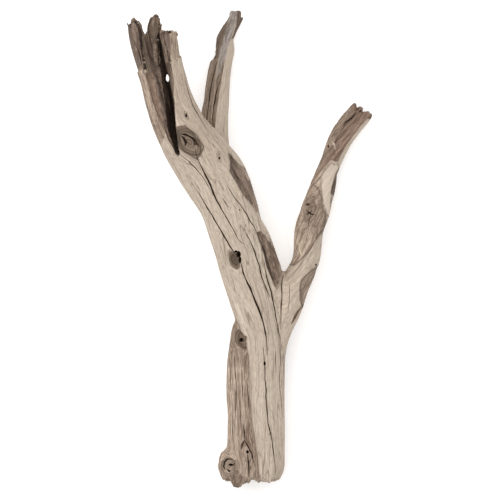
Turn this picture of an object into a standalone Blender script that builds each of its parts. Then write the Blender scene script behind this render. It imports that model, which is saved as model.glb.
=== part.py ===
"""Manzanita driftwood: one dry forked limb of hardwood, lying on its back on a level surface.

The wood grew as four strands fused side by side. Each strand runs the whole way from the trunk's foot to the tip
of its own limb, which is why a trunk of this wood is fluted and why its grain forks where its limbs do.
The trunk's foot points to -Y, the limbs to +Y, and the side that shows most faces +Z.
"""

import bmesh
import bpy
import numpy as np
from mathutils import Matrix, Vector
from mathutils.bvhtree import BVHTree

# Driving dimensions. Every table below is in millimetres on a piece of TABLE_LENGTH.
LENGTH = 0.450
TABLE_LENGTH = 450.0
MM = LENGTH / TABLE_LENGTH

# A station is (x, y, z, half width, half depth) of a strand's cross-section. Width lies across the strand and
# level with the ground, and depth stands up from it.
STEM = [
    (17, -228, 33, 11, 12),
    (17, -218, 32.5, 14, 16),
    (17, -205, 32, 15, 18),
    (17, -179, 32, 14.6, 18),
    (15.6, -141.5, 32, 16, 19),
    (15, -104, 33, 17.4, 19.5),
    (13, -80, 34.5, 19.8, 20.5),
    (7.5, -57, 37, 23, 21.5),
    (1.5, -38, 39.5, 24, 22.5),
    (-3, -19, 42.5, 24.5, 23),
    (-7, 0, 46, 25.5, 23.5),
    (-13.2, 19, 49.5, 25.7, 24),
    (-21.7, 41.5, 54, 26, 24),
    (-32, 64, 58.5, 28, 25),
    (-45.7, 87, 63, 28, 25),
    (-58.5, 104, 66, 25.3, 24),
    (-69.3, 122.6, 69, 23.1, 22.5),
    (-77.3, 141.5, 71.5, 22.4, 21.5),
    (-82, 160, 73.5, 22, 21),
    (-85.8, 173.5, 75, 22.8, 21),
    (-88.8, 188.6, 76.5, 24.2, 20.5),
    (-91.8, 207.5, 78.5, 24.8, 19),
    (-94, 230, 80.5, 24, 17),
]
RIGHT_LIMB = [
    (24.5, -224, 29, 6, 11),
    (24.5, -212, 29, 8, 14),
    (24.5, -179, 28, 8.7, 15),
    (23.6, -141.5, 28, 9.6, 16),
    (24, -104, 29, 11, 16.5),
    (26.5, -80, 30, 13.2, 17),
    (33.5, -57, 32, 15.5, 17),
    (40, -38, 33.5, 16, 16.5),
    (47.5, -20, 34, 15, 15.5),
    (51.5, -6, 33.5, 13.8, 14.5),
    (55, 19, 31, 13.4, 13.5),
    (61.8, 41.5, 27.5, 13, 13),
    (68.8, 64, 22.5, 11.8, 12),
    (77, 87, 17, 11, 11.5),
    (85, 104, 13.2, 11.6, 11.5),
    (92.7, 115, 10.4, 11.8, 11.5),
    (100.6, 125.5, 9.4, 11, 11.2),
    (109.5, 139, 9.4, 9.4, 10.6),
]
LEFT_ROOT = [
    (-7, -60, 30, 4, 8),
    (-9.5, -72, 28.5, 7, 12),
    (-10, -88, 27.5, 9.5, 14.5),
    (-10.4, -108, 26, 11, 15.5),
    (-10.4, -137, 25, 11.3, 16),
    (-9.4, -156, 24.5, 11.3, 16),
    (-8.8, -179, 24, 12.3, 16.5),
    (-7, -198, 24, 14, 17),
    (-6, -216, 24, 14, 16.5),
    (-6, -229, 24, 11, 12),
]
BACK_LIMB = [
    (5, -227, 23, 12, 11),
    (5, -216, 21.5, 15.5, 15),
    (5.5, -200, 21, 16.5, 17),
    (6.6, -160, 20.5, 17.5, 17.5),
    (7.5, -104, 21, 18, 18),
    (7.5, -57, 24, 17.5, 18),
    (-6.5, 0, 31, 16, 17),
    (-22.6, 47, 38, 14.5, 16),
    (-32, 85, 41, 13.5, 15),
    (-33.5, 104, 40, 12.9, 14),
    (-33, 122.6, 36, 12.3, 12.5),
    (-31.1, 141.5, 28.5, 11.4, 11.5),
    (-29.7, 160.3, 20.5, 10.8, 10.8),
    (-26.9, 177.3, 13, 9.9, 10.2),
    (-23.9, 190, 9.3, 9, 9.9),
    (-24, 199, 8.4, 7.6, 9.2),
    (-19.6, 209, 9.3, 6, 7.8),
    (-14.6, 218.5, 11.5, 4.6, 5.6),
    (-12.5, 230, 13, 4.2, 4.5),
]
STRANDS = {"stem": STEM, "right_limb": RIGHT_LIMB, "left_root": LEFT_ROOT, "back_limb": BACK_LIMB}

# What stands out of the strands: the burl and the stub at the foot, and the splinters of the back limb's end.
OUTGROWTHS = {
    "burl": [
        (-15, -188, 21, 5, 9),
        (-17.5, -196, 20.2, 10, 17),
        (-18.3, -204.5, 19.8, 12, 20.4),
        (-17.5, -213, 20.2, 9.5, 17),
        (-16, -219, 21, 5, 9),
    ],
    "root_stub": [
        (-12, -200, 30, 5, 7),
        (-12.3, -214, 29, 5.6, 7.5),
        (-12.3, -230, 27, 5, 6),
    ],
    "back_limb_shoulder": [
        (-30, 186, 10, 2.5, 5),
        (-29.5, 196, 10.5, 3, 6),
        (-27, 203, 11, 2.6, 5),
        (-24, 208, 11.5, 1.4, 2.5),
    ],
    "back_limb_splinter": [
        (-19, 204, 7, 3, 4),
        (-13.5, 211.5, 7.5, 2.2, 3.5),
        (-9, 217.5, 8, 1.6, 2.5),
        (-6.6, 221, 8.3, 0.8, 1.5),
    ],
}

# What rot has emptied: the crown's open hollow, the deep slot in its floor, and the hole through its back wall.
HOLLOWS = {
    "crown_hollow": [
        (-67, 91, 100, 3, 11),
        (-71.5, 104, 105, 8, 19),
        (-76, 118, 108, 12, 24),
        (-80, 132, 110, 14.5, 27),
        (-83, 146, 111, 15.5, 28),
        (-84.8, 160, 112, 15.5, 30),
        (-86.8, 173.5, 111, 13, 33),
        (-90, 190, 108, 11, 37),
        (-92.5, 207, 106, 9.5, 37),
        (-93, 236, 106, 10.5, 36),
    ],
    "crown_slot": [
        (-66.3, 89.5, 88, 1.6, 8),
        (-69.3, 101, 83, 3, 14),
        (-72, 113, 80, 4.2, 18),
        (-75, 127, 79, 5.2, 20),
        (-76.9, 141.5, 79, 5.4, 20),
        (-78.4, 155.6, 80, 4.6, 20),
        (-80.8, 170, 82, 3.4, 20),
        (-83.3, 187, 84, 2.5, 20),
        (-86, 204, 86, 1.2, 18),
    ],
    "crown_eye": [
        (-77.2, 155, 60, 0.8, 16),
        (-77.6, 158.5, 60, 2.2, 18),
        (-77.9, 163, 60, 2.2, 18),
        (-78.2, 167, 60, 0.8, 16),
    ],
}

# Where the wood broke off: each outline, seen from above, takes away all that lies inside it.
BREAKS = {
    "foot_break": [
        (-42, -215), (-27, -217), (-22.6, -219.2), (-19.3, -217.8), (-17.4, -220.7), (-15.6, -224.2),
        (-12.3, -225.2), (-9, -224), (-7.1, -220.2), (-4.2, -219), (-1.4, -220.2), (0.5, -217.4),
        (4.7, -216.7), (8.5, -218.8), (12.3, -217.4), (17, -219.2), (22.6, -218.6), (27.8, -215),
        (31.4, -207.5), (33.6, -198), (44, -190), (44, -240), (-42, -240),
    ],
    "crown_break": [
        (-122, 213), (-115, 214.1), (-111.7, 215.5), (-108.3, 217.8), (-105.6, 215), (-103, 213.6),
        (-102, 207.8), (-100.1, 203), (-98.6, 201), (-97.2, 204.6), (-96.7, 212.7), (-94.8, 217.8),
        (-91.5, 221.3), (-90, 223.4), (-86.1, 220.4), (-84.2, 214.5), (-83.9, 206.5), (-79.2, 205.4),
        (-75.1, 206.3), (-71.7, 205.2), (-68.8, 206.9), (-56, 207), (-56, 245), (-122, 245),
    ],
    "right_limb_break": [
        (92, 141), (98.6, 139.2), (99.8, 135.8), (100.9, 132.2), (102.8, 133.7), (104.2, 135.5),
        (105.5, 133.3), (104.9, 130.3), (106.8, 128.7), (111.5, 129.7), (114.1, 127), (122, 127),
        (122, 160), (92, 160),
    ],
    "back_limb_break": [
        (-22, 222), (-17, 225), (-13.2, 224.2), (-9.4, 225.2), (-6, 223.5), (2, 223), (2, 240), (-22, 240),
    ],
}

# Knots as (side, x, y, half width, half length, rim height, pit depth). Side is 1 on the face, -1 on the back.
KNOTS = [
    (1, -56.6, 101, 11.5, 14, 1.2, 3.0),
    (1, -13.2, -10.4, 6.5, 10, 0.4, 2.0),
    (1, -10.2, -5.6, 2.6, 2.6, 0.0, 5.0),
    (1, -7.3, -83.2, 5.5, 7, 0.9, 3.2),
    (1, -20, -203, 5, 5.5, 0.8, 3.2),
    (1, 57, 40, 7.5, 10, 0.8, 1.6),
    (1, -2.4, -190.7, 1.8, 2.4, 0.0, 3.5),
    (-1, -20, 30, 9, 13, 1.4, 3.0),
    (-1, 12, -120, 8, 11, 1.0, 3.4),
    (-1, 60, 20, 6, 9, 0.8, 2.2),
    (-1, -70, 118, 7, 10, 1.0, 2.6),
]

# Places where the pale outer wood has peeled off, as (side, depth, [(x, y, half width), ...]) down the middle.
PEELED = [
    (1, 3.0, [(-19, 89, 1.5), (-13, 80, 4), (-6, 66, 5), (-1, 55, 3.5), (3, 43, 1)]),
    (1, 2.8, [(12, 14, 1.5), (16, 4, 4), (20, -10, 5), (23, -24, 3.5), (23, -34, 1)]),
    (1, 3.0, [(64, -12, 2), (58, -23, 6), (53, -35, 5), (50, -52, 1.5)]),
    (1, 2.0, [(82, 75, 1.5), (80, 66, 3), (77, 55, 1.5)]),
    (1, 1.6, [(46, -12, 2), (50, 5, 5), (55, 22, 8), (59, 38, 9), (62, 52, 5), (62.5, 61, 1)]),
    (-1, 2.2, [(-40, 92, 2), (-34, 70, 7), (-22, 46, 8), (-14, 24, 2)]),
    (-1, 2.2, [(30, -40, 2), (28, -70, 6), (24, -100, 7), (22, -128, 2)]),
    (-1, 1.8, [(66, 50, 2), (72, 70, 6), (80, 90, 5), (88, 106, 1.5)]),
]
PEEL_WALL = 1.2

# The pale outer wood ends in a ledge round the crown. Its height is given at the crown's left and right side.
LEDGE_LEFT = (-104, 167)
LEDGE_RIGHT = (-68, 179.5)
LEDGE_DEPTH = 1.5
LEDGE_RAGGED = 3.0

# Drying checks that run along the grain, as (side, half width, depth, [(x, y), ...]).
CHECKS = [
    (1, 0.8, 5, [(-51, 96), (-44, 75), (-37, 61), (-26, 37), (-16, 20), (-6.5, 5)]),
    (1, 0.7, 4, [(-66, 88), (-52, 77), (-43, 64), (-37, 52)]),
    (1, 0.9, 6, [(-48, 55), (-37, 35), (-24, 13), (-15, -1)]),
    (1, 1.0, 6, [(-9, -12), (-6, -22), (1, -40), (7, -56), (12, -73), (15.5, -86), (17, -95)]),
    (1, 0.8, 5, [(-3, 14), (5, -3), (11, -26), (15, -36)]),
    (1, 0.8, 5, [(17, -34), (23, -55), (27, -78)]),
    (1, 0.8, 5, [(12.5, -97), (13.8, -107), (15, -130), (17, -155), (20, -172), (24, -208)]),
    (1, 0.8, 5, [(-2.8, -172), (-2.4, -191), (-1.8, -210)]),
    (1, 0.7, 4, [(100, 129), (96, 124), (89, 118), (84, 108), (80, 92)]),
    (-1, 0.9, 6, [(8, -30), (4, -70), (3, -110), (6, -160)]),
    (-1, 0.8, 5, [(-52, 100), (-38, 72), (-26, 52)]),
]

# Long ribs of the grain: (height, breadth, length) of each size of rib.
RIBS = [(2.4, 13, 130), (1.2, 6, 70)]
TWIST = 0.026
TWIST_FROM = -40

# Pitch of the fused wood's grid, the rings of a loft, and how many faces the wood keeps before the checks open.
FUSE_PITCH = 1.5
RING_PITCH = 5
RING_SIDES = 32
BLADE_SIDES = 4
FACES_KEPT = 8200


def clear_scene():
    for old in list(bpy.data.objects):
        bpy.data.objects.remove(old, do_unlink=True)


def collection(name):
    made = bpy.data.collections.new(name)
    bpy.context.scene.collection.children.link(made)
    return made


def add_object(name, mesh, into):
    made = bpy.data.objects.new(name, mesh)
    into.objects.link(made)
    return made


def smooth_rows(rows, pitch):
    """The rows of a table, in metres, with more rows between them on a smooth curve, about pitch apart."""
    fixed = np.array(rows, float) * MM
    padded = np.vstack([2 * fixed[0] - fixed[1], fixed, 2 * fixed[-1] - fixed[-2]])
    made = []
    for before, start, end, after in zip(padded, padded[1:], padded[2:], padded[3:]):
        steps = max(1, round(np.linalg.norm(end[:3] - start[:3]) / (pitch * MM)))
        for t in np.arange(steps) / steps:
            slope_in = (end - before) / 2
            slope_out = (after - start) / 2
            made.append(
                (2 * t**3 - 3 * t**2 + 1) * start
                + (t**3 - 2 * t**2 + t) * slope_in
                + (3 * t**2 - 2 * t**3) * end
                + (t**3 - t**2) * slope_out
            )
    made.append(fixed[-1])
    return np.array(made)


def loft(name, rows, into, sides=RING_SIDES, pitch=RING_PITCH):
    """A closed body through elliptical rings, one at each station."""
    stations = smooth_rows(rows, pitch)
    headings = np.gradient(stations[:, :3], axis=0)
    bm = bmesh.new()
    last = []
    for station, heading in zip(stations, headings):
        forward = Vector(heading).normalized()
        across = forward.cross(Vector((0, 0, 1))).normalized()
        rise = across.cross(forward)
        turn = Matrix((across, rise, forward)).transposed().to_4x4()
        size = Matrix.Diagonal((max(station[3], 0.2 * MM), max(station[4], 0.2 * MM), 1, 1))
        place = Matrix.Translation(station[:3]) @ turn @ size
        ring = bmesh.ops.create_circle(bm, segments=sides, radius=1, matrix=place)["verts"]
        edges = list({edge for vert in ring for edge in vert.link_edges})
        if last:
            bmesh.ops.bridge_loops(bm, edges=last + edges)
        last = edges
    bmesh.ops.holes_fill(bm, edges=[e for e in bm.edges if e.is_boundary], sides=0)
    bmesh.ops.recalc_face_normals(bm, faces=bm.faces)
    mesh = bpy.data.meshes.new(name)
    bm.to_mesh(mesh)
    bm.free()
    return add_object(name, mesh, into)


def evaluated_mesh(obj):
    graph = bpy.context.evaluated_depsgraph_get()
    return bpy.data.meshes.new_from_object(obj.evaluated_get(graph))


def break_block(name, outline, into):
    """An upright block with the outline of a break, tall enough to pass through the whole piece."""
    tall = 300 * MM
    curve = bpy.data.curves.new(name, "CURVE")
    curve.dimensions = "2D"
    curve.fill_mode = "BOTH"
    curve.extrude = tall / 2
    spline = curve.splines.new("POLY")
    spline.points.add(len(outline) - 1)
    for point, (x, y) in zip(spline.points, outline):
        point.co = (x * MM, y * MM, 0, 1)
    spline.use_cyclic_u = True
    drawn = add_object(name + "_outline", curve, into)
    mesh = evaluated_mesh(drawn)
    bpy.data.objects.remove(drawn)
    bm = bmesh.new()
    bm.from_mesh(mesh)
    bmesh.ops.remove_doubles(bm, verts=bm.verts, dist=0.01 * MM)
    bmesh.ops.recalc_face_normals(bm, faces=bm.faces)
    bm.to_mesh(mesh)
    bm.free()
    return add_object(name, mesh, into)


def apply_modifiers(obj):
    mesh = evaluated_mesh(obj)
    obj.modifiers.clear()
    obj.data = mesh


def remesh(obj, passes):
    """One closed skin over all that the object holds, with its creases slightly filled, as grown wood has them."""
    step = obj.modifiers.new("skin", "REMESH")
    step.mode = "VOXEL"
    step.voxel_size = FUSE_PITCH * MM
    soften = obj.modifiers.new("soften", "SMOOTH")
    soften.factor = 0.5
    soften.iterations = passes
    apply_modifiers(obj)


def join_bodies(name, pieces, into):
    bm = bmesh.new()
    for piece in pieces:
        bm.from_mesh(piece.data)
        bpy.data.objects.remove(piece)
    mesh = bpy.data.meshes.new(name)
    bm.to_mesh(mesh)
    bm.free()
    return add_object(name, mesh, into)


def cut(obj, cutters):
    """Takes every cutter out of the object, one after the other."""
    for cutter in cutters:
        cutter.hide_render = True
        cutter.display_type = "WIRE"
        step = obj.modifiers.new(cutter.name, "BOOLEAN")
        step.operation = "DIFFERENCE"
        step.solver = "EXACT"
        step.object = cutter
    apply_modifiers(obj)


def grid_noise(points, seed):
    """Smooth noise from -1 to 1 at each point: random numbers on a unit grid, blended between its corners."""
    table = np.random.default_rng(seed).uniform(-1, 1, 4096)
    cell = np.floor(points).astype(np.int64)
    part = points - cell
    part = part * part * (3 - 2 * part)
    total = np.zeros(len(points))
    for corner in np.ndindex(2, 2, 2):
        spot = cell + corner
        value = table[(spot[:, 0] * 73 + spot[:, 1] * 1619 + spot[:, 2] * 531) % 4096]
        total += value * np.prod(np.where(corner, part, 1 - part), axis=1)
    return total


def strand_places(points):
    """For each strand: how far each point lies from its heart, in its half sizes and in millimetres."""
    places = []
    for name, rows in STRANDS.items():
        table = np.array(sorted(rows, key=lambda row: row[1]), float)
        x, z, half_width, half_depth = (np.interp(points[:, 1], table[:, 1], table[:, c]) for c in (0, 2, 3, 4))
        across, rise = points[:, 0] - x, points[:, 2] - z
        reach = np.hypot(across / half_width, rise / half_depth)
        if name == "right_limb":
            turn = TWIST * np.maximum(0, points[:, 1] - TWIST_FROM)
            across, rise = (
                across * np.cos(turn) - rise * np.sin(turn),
                across * np.sin(turn) + rise * np.cos(turn),
            )
        places.append((reach, across, rise))
    return places


def rib_height(points):
    """Height of the long low ribs of the grain: noise drawn out along the strands."""
    total = np.zeros(len(points))
    weights = np.full(len(points), 1e-9)
    for number, (reach, across, rise) in enumerate(strand_places(points)):
        weight = np.exp(-3 * reach**2)
        for height, breadth, length in RIBS:
            place = np.column_stack([across / breadth, rise / breadth, points[:, 1] / length])
            total += weight * height * grid_noise(place, 10 + number)
        weights += weight
    return total / weights


def knot_height(points, knot):
    """Height that a knot adds: a swollen rim round a sunken eye."""
    side, x, y, half_width, half_length, rim, pit = knot
    out = np.hypot((points[:, 0] - x) / half_width, (points[:, 1] - y) / half_length)
    swell = np.exp(-(((out - 1.0) / 0.35) ** 2))
    sink = np.maximum(0, 1 - (out / 0.8) ** 2)
    return rim * swell - pit * sink


def line_distance(points, start, end):
    """Distance from each point to a line, and how far along it the nearest place is, from 0 to 1."""
    start, run = np.array(start, float), np.subtract(end, start)
    along = np.clip((points[:, :2] - start) @ run / (run @ run), 0, 1)
    off = points[:, :2] - start - along[:, None] * run
    return np.hypot(off[:, 0], off[:, 1]), along


def peel_depth(points, line):
    """Share of its full depth that a peeled place has at each point: a flat floor with a steep wall all round."""
    depth = np.zeros(len(points))
    for (x0, y0, w0), (x1, y1, w1) in zip(line, line[1:]):
        off, along = line_distance(points, (x0, y0), (x1, y1))
        half = w0 + (w1 - w0) * along
        depth = np.maximum(depth, np.clip((half + PEEL_WALL / 2 - off) / PEEL_WALL, 0, 1))
    return depth


def ledge_depth(points):
    """Depth by which the crown lies below the pale outer wood, past the ragged ledge where that wood ends."""
    share = (points[:, 0] - LEDGE_LEFT[0]) / (LEDGE_RIGHT[0] - LEDGE_LEFT[0])
    ends = LEDGE_LEFT[1] + share * (LEDGE_RIGHT[1] - LEDGE_LEFT[1])
    ragged = LEDGE_RAGGED * grid_noise(points * (0.35, 0, 0.35), 31)
    past = np.clip(points[:, 1] - ends - ragged, 0, 1)
    reach = strand_places(points)[0][0]
    outer = np.clip((reach - 0.8) / 0.1, 0, 1)
    return LEDGE_DEPTH * past * outer * (points[:, 0] < -50)


def facing(obj, points, normals):
    """For each point, how much it shows from above (up to 1) or from below (down to -1); 0 where it is hidden."""
    mesh = obj.data
    tree = BVHTree.FromPolygons([v.co for v in mesh.vertices], [p.vertices for p in mesh.polygons])
    share = np.clip((np.abs(normals[:, 2]) - 0.05) / 0.3, 0, 1) * np.sign(normals[:, 2])
    for index in np.nonzero(share)[0]:
        out = Vector((0, 0, np.sign(share[index])))
        if tree.ray_cast(Vector(points[index] * MM) + out * FUSE_PITCH * MM, out)[0]:
            share[index] = 0
    return share


def carve_relief(obj):
    """Ribs all over, the ledge round the crown, and the knots and peeled places where they are."""
    count = len(obj.data.vertices)
    points, normals = np.empty(count * 3), np.empty(count * 3)
    obj.data.vertices.foreach_get("co", points)
    obj.data.vertices.foreach_get("normal", normals)
    points, normals = points.reshape(-1, 3) / MM, normals.reshape(-1, 3)
    shows = facing(obj, points, normals)
    height = rib_height(points) - ledge_depth(points)
    for knot in KNOTS:
        height += knot_height(points, knot) * np.clip(shows * knot[0], 0, 1)
    for side in (1, -1):
        depths = [depth * peel_depth(points, line) for place, depth, line in PEELED if place == side]
        height -= np.max(depths, axis=0) * np.clip(shows * side, 0, 1)
    moved = (points + normals * height[:, None]) * MM
    obj.data.vertices.foreach_set("co", moved.ravel())
    obj.data.update()


def thin_out(obj, faces):
    """Fewer triangles, kept where the shape turns."""
    triangles = sum(len(p.vertices) - 2 for p in obj.data.polygons)
    step = obj.modifiers.new("thin_out", "DECIMATE")
    step.ratio = faces / triangles
    apply_modifiers(obj)


def check_blade(name, check, obj, into):
    """The thin wedge that opens a drying check, laid along the surface where the check runs."""
    side, half_width, depth, line = check
    mesh = obj.data
    tree = BVHTree.FromPolygons([v.co for v in mesh.vertices], [p.vertices for p in mesh.polygons])
    path = smooth_rows([(x, y, 0, half_width, depth) for x, y in line], 8)
    taper = np.sin(np.linspace(0.12, np.pi - 0.12, len(path))) ** 0.5
    rows = []
    for (x, y, _, wide, deep), share in zip(path, taper):
        hit = tree.ray_cast(Vector((x, y, side)), Vector((0, 0, -side)))[0]
        rows.append((x / MM, y / MM, hit.z / MM, wide * share / MM, deep * share / MM))
    return loft(name, rows, into, sides=BLADE_SIDES, pitch=9)


def ground_block(into):
    """All that lies below the ground, which leaves the wood worn flat where it rests."""
    deep = 40 * MM
    bm = bmesh.new()
    size = Matrix.Diagonal((LENGTH, 2 * LENGTH, deep, 1))
    bmesh.ops.create_cube(bm, size=1, matrix=Matrix.Translation((0, 0, -deep / 2)) @ size)
    mesh = bpy.data.meshes.new("ground")
    bm.to_mesh(mesh)
    bm.free()
    return add_object("ground", mesh, into)


def weathered_wood():
    made = bpy.data.materials.new("weathered_wood")
    made.use_nodes = True
    shader = made.node_tree.nodes["Principled BSDF"]
    shader.inputs["Base Color"].default_value = (0.50, 0.42, 0.34, 1)
    shader.inputs["Roughness"].default_value = 0.85
    shader.inputs["Metallic"].default_value = 0.0
    return made


def build():
    clear_scene()
    parts = collection("manzanita_driftwood")
    cutters = collection("cutters")
    tables = {**STRANDS, **OUTGROWTHS}
    wood = join_bodies("driftwood", [loft(name, rows, parts) for name, rows in tables.items()], parts)
    remesh(wood, passes=3)
    breaks = [break_block(name, outline, cutters) for name, outline in BREAKS.items()]
    hollows = [loft(name, rows, cutters) for name, rows in HOLLOWS.items()]
    cut(wood, breaks + hollows)
    remesh(wood, passes=1)
    carve_relief(wood)
    thin_out(wood, FACES_KEPT)
    blades = [check_blade(f"check_{i}", check, wood, cutters) for i, check in enumerate(CHECKS)]
    cut(wood, blades + [ground_block(cutters)])
    wood.data.materials.append(weathered_wood())
    wood.data.shade_smooth()


build()
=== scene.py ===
"""Manzanita driftwood, finished: a dry forked limb of hardwood lying on its back, seen from above.

The wood is one piece. It is grown here from the same four strands as the solid that it stands for, then
given what the weather gave it: the ribs and grooves of the grain, knots, places where the pale outer wood
has gone, and checks.
"""

from collections import namedtuple

import bmesh
import bpy
import numpy as np
from mathutils import Matrix, Vector
from mathutils.bvhtree import BVHTree
from mathutils.kdtree import KDTree


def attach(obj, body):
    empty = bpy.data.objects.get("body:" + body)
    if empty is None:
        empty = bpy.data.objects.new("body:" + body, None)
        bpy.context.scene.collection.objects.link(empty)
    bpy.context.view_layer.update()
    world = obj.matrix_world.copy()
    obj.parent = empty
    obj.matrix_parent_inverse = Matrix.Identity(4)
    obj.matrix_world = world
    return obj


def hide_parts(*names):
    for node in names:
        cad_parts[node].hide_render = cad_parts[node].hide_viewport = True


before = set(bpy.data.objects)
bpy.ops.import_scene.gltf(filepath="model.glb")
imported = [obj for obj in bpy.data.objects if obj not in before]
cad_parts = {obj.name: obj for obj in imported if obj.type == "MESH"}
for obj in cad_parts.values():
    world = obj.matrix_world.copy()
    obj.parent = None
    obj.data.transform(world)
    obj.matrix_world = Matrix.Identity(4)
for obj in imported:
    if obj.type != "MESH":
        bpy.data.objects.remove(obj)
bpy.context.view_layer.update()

workbench = bpy.context.scene.collection

# The grown body. The real piece is one limb whose four strands fused side by side as they grew, each from
# the foot of the trunk to the tip of its own limb. They are rings on a centre line, joined under one
# skin, with the burl, the root stub and the torn end of the back limb standing out of them.

LENGTH = 0.450
TABLE_LENGTH = 450.0
MM = LENGTH / TABLE_LENGTH

# A station is (x, y, z, half width, half depth) in millimetres.
STEM = [
    (17, -228, 33, 11, 12),
    (17, -218, 32.5, 14, 16),
    (17, -205, 32, 15, 18),
    (17, -179, 32, 14.6, 18),
    (15.6, -141.5, 32, 16, 19),
    (15, -104, 33, 17.4, 19.5),
    (13, -80, 34.5, 19.8, 20.5),
    (7.5, -57, 37, 23, 21.5),
    (1.5, -38, 39.5, 24, 22.5),
    (-4.9, -19, 42.5, 24.6, 23),
    (-9.4, 0, 46, 26, 23.5),
    (-15.1, 19, 49.5, 26.8, 24),
    (-21.5, 41.5, 54, 28, 24),
    (-31.5, 64, 58.5, 30.2, 25),
    (-46.8, 87, 63, 28.8, 25),
    (-59.6, 104, 66, 26.4, 24),
    (-70.2, 122.6, 69, 24.0, 22.5),
    (-77.3, 141.5, 71.5, 22.4, 21.5),
    (-82, 160, 73.5, 22, 21),
    (-85.8, 173.5, 75, 22.8, 21),
    (-88.8, 188.6, 76.5, 24.2, 20.5),
    (-91.8, 207.5, 78.5, 24.8, 19),
    (-94, 230, 80.5, 24, 17),
]
RIGHT_LIMB = [
    (24.5, -224, 29, 6, 11),
    (24.5, -212, 29, 8, 14),
    (24.5, -179, 28, 8.7, 15),
    (23.2, -141.5, 28, 9.2, 16),
    (23.2, -104, 29, 9.8, 16.5),
    (25.9, -80, 30, 12.2, 17),
    (33.5, -57, 32, 15.5, 17),
    (40, -38, 33.5, 16, 16.5),
    (48, -20, 34, 14.6, 15.5),
    (51.7, -6, 33.5, 13.2, 14.5),
    (53.8, 19, 31, 12.8, 13.5),
    (61.8, 41.5, 27.5, 13, 13),
    (69.3, 64, 22.5, 12.2, 12),
    (78.2, 87, 17, 11.5, 11.5),
    (86.4, 104, 13.2, 11.8, 11.5),
    (94, 115, 10.4, 11.8, 11.5),
    (101.7, 125.5, 9.4, 10.5, 11.2),
    (110.2, 139, 9.4, 8.8, 10.6),
]
LEFT_ROOT = [
    (-7, -60, 30, 4, 8),
    (-9.5, -72, 28.5, 7, 12),
    (-10, -88, 27.5, 9.5, 14.5),
    (-10.4, -108, 26, 11, 15.5),
    (-10.4, -137, 25, 11.3, 16),
    (-9.4, -156, 24.5, 11.3, 16),
    (-8.8, -179, 24, 12.3, 16.5),
    (-7, -198, 24, 14, 17),
    (-6, -216, 24, 14, 16.5),
    (-6, -229, 24, 11, 12),
]
BACK_LIMB = [
    (5, -227, 23, 12, 11),
    (5, -216, 21.5, 15.5, 15),
    (5.5, -200, 21, 16.5, 17),
    (6.6, -160, 20.5, 17.5, 17.5),
    (7.5, -104, 21, 18, 18),
    (7.5, -57, 24, 17.5, 18),
    (-6.5, 0, 31, 16, 17),
    (-22.6, 47, 38, 14.5, 16),
    (-32, 85, 41, 13.5, 15),
    (-33.5, 104, 40, 12.9, 14),
    (-33, 122.6, 36, 12.3, 12.5),
    (-31.1, 141.5, 28.5, 11.4, 11.5),
    (-29.7, 160.3, 20.5, 10.8, 10.8),
    (-26.9, 177.3, 13, 9.9, 10.2),
    (-23.9, 190, 9.3, 9, 9.9),
    (-24, 199, 8.4, 7.6, 9.2),
    (-19.6, 209, 9.3, 6, 7.8),
    (-15.0, 218.5, 11.5, 4.7, 5.6),
    (-12.9, 230, 13, 3.9, 4.5),
]
STRANDS = {"stem": STEM, "right_limb": RIGHT_LIMB, "left_root": LEFT_ROOT, "back_limb": BACK_LIMB}

OUTGROWTHS = {
    "burl": [
        (-13.5, -172, 22, 3, 7), (-14.5, -186, 21, 6, 11), (-17.5, -196, 20.2, 10, 17),
        (-18.3, -204.5, 19.8, 12, 20.4), (-17.5, -213, 20.2, 9.5, 17), (-16, -219, 21, 5, 9),
    ],
    "gouged_flank": [
        (4, 32, 48, 4, 12), (8.5, 20, 46, 6, 14), (12, 7.5, 44, 8, 15), (15, -3.8, 42, 8.8, 15),
        (18, -15, 40, 10.5, 15), (21, -27, 38, 10, 15), (22, -40, 37, 8, 14),
    ],
    "crotch_web": [
        (32, -28, 36, 3.5, 9), (32, -32, 36, 6, 12), (31, -38, 36, 9, 14), (29, -46, 35, 9, 14),
    ],
    "root_stub": [
        (-12, -200, 30, 5, 7), (-12.3, -214, 29, 5.6, 7.5), (-12.3, -230, 27, 5, 6),
    ],
    "plate_chunk": [
        (81.4, 77, 15, 1.2, 3), (81.3, 71.5, 16, 2.4, 5), (80.0, 65, 18, 2.6, 6), (78.2, 57, 20, 2.6, 6),
        (75.6, 48, 22, 1.6, 4),
    ],
    "back_limb_shoulder": [
        (-30, 186, 10, 2.5, 5), (-29.5, 196, 10.5, 3, 6), (-27, 203, 11, 2.6, 5),
        (-24, 208, 11.5, 1.4, 2.5),
    ],
    "back_limb_splinter": [
        (-19, 204, 7, 3, 4), (-13.6, 211.5, 7.5, 2.6, 3.5), (-9.6, 217.5, 8, 2.3, 2.5),
        (-6.8, 222, 8.3, 1.6, 1.8),
    ],
}
RING_SIDES = 32
RING_PITCH = 5
LEAST_HALF = 0.15
FUSE_PITCH = 1.5
SKIN_PITCH = 0.9


def smooth_rows(rows, pitch):
    """The rows of a table, in metres, with more rows about pitch apart on a smooth curve between them."""
    fixed = np.array(rows, float) * MM
    padded = np.vstack([2 * fixed[0] - fixed[1], fixed, 2 * fixed[-1] - fixed[-2]])
    made = []
    for before, start, end, after in zip(padded, padded[1:], padded[2:], padded[3:]):
        steps = max(1, round(np.linalg.norm(end[:3] - start[:3]) / (pitch * MM)))
        for t in np.arange(steps) / steps:
            slope_in = (end - before) / 2
            slope_out = (after - start) / 2
            made.append(
                (2 * t**3 - 3 * t**2 + 1) * start
                + (t**3 - 2 * t**2 + t) * slope_in
                + (3 * t**2 - 2 * t**3) * end
                + (t**3 - t**2) * slope_out
            )
    made.append(fixed[-1])
    return np.array(made)


def new_object(name, data):
    made = bpy.data.objects.new(name, data)
    workbench.objects.link(made)
    return made


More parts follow.
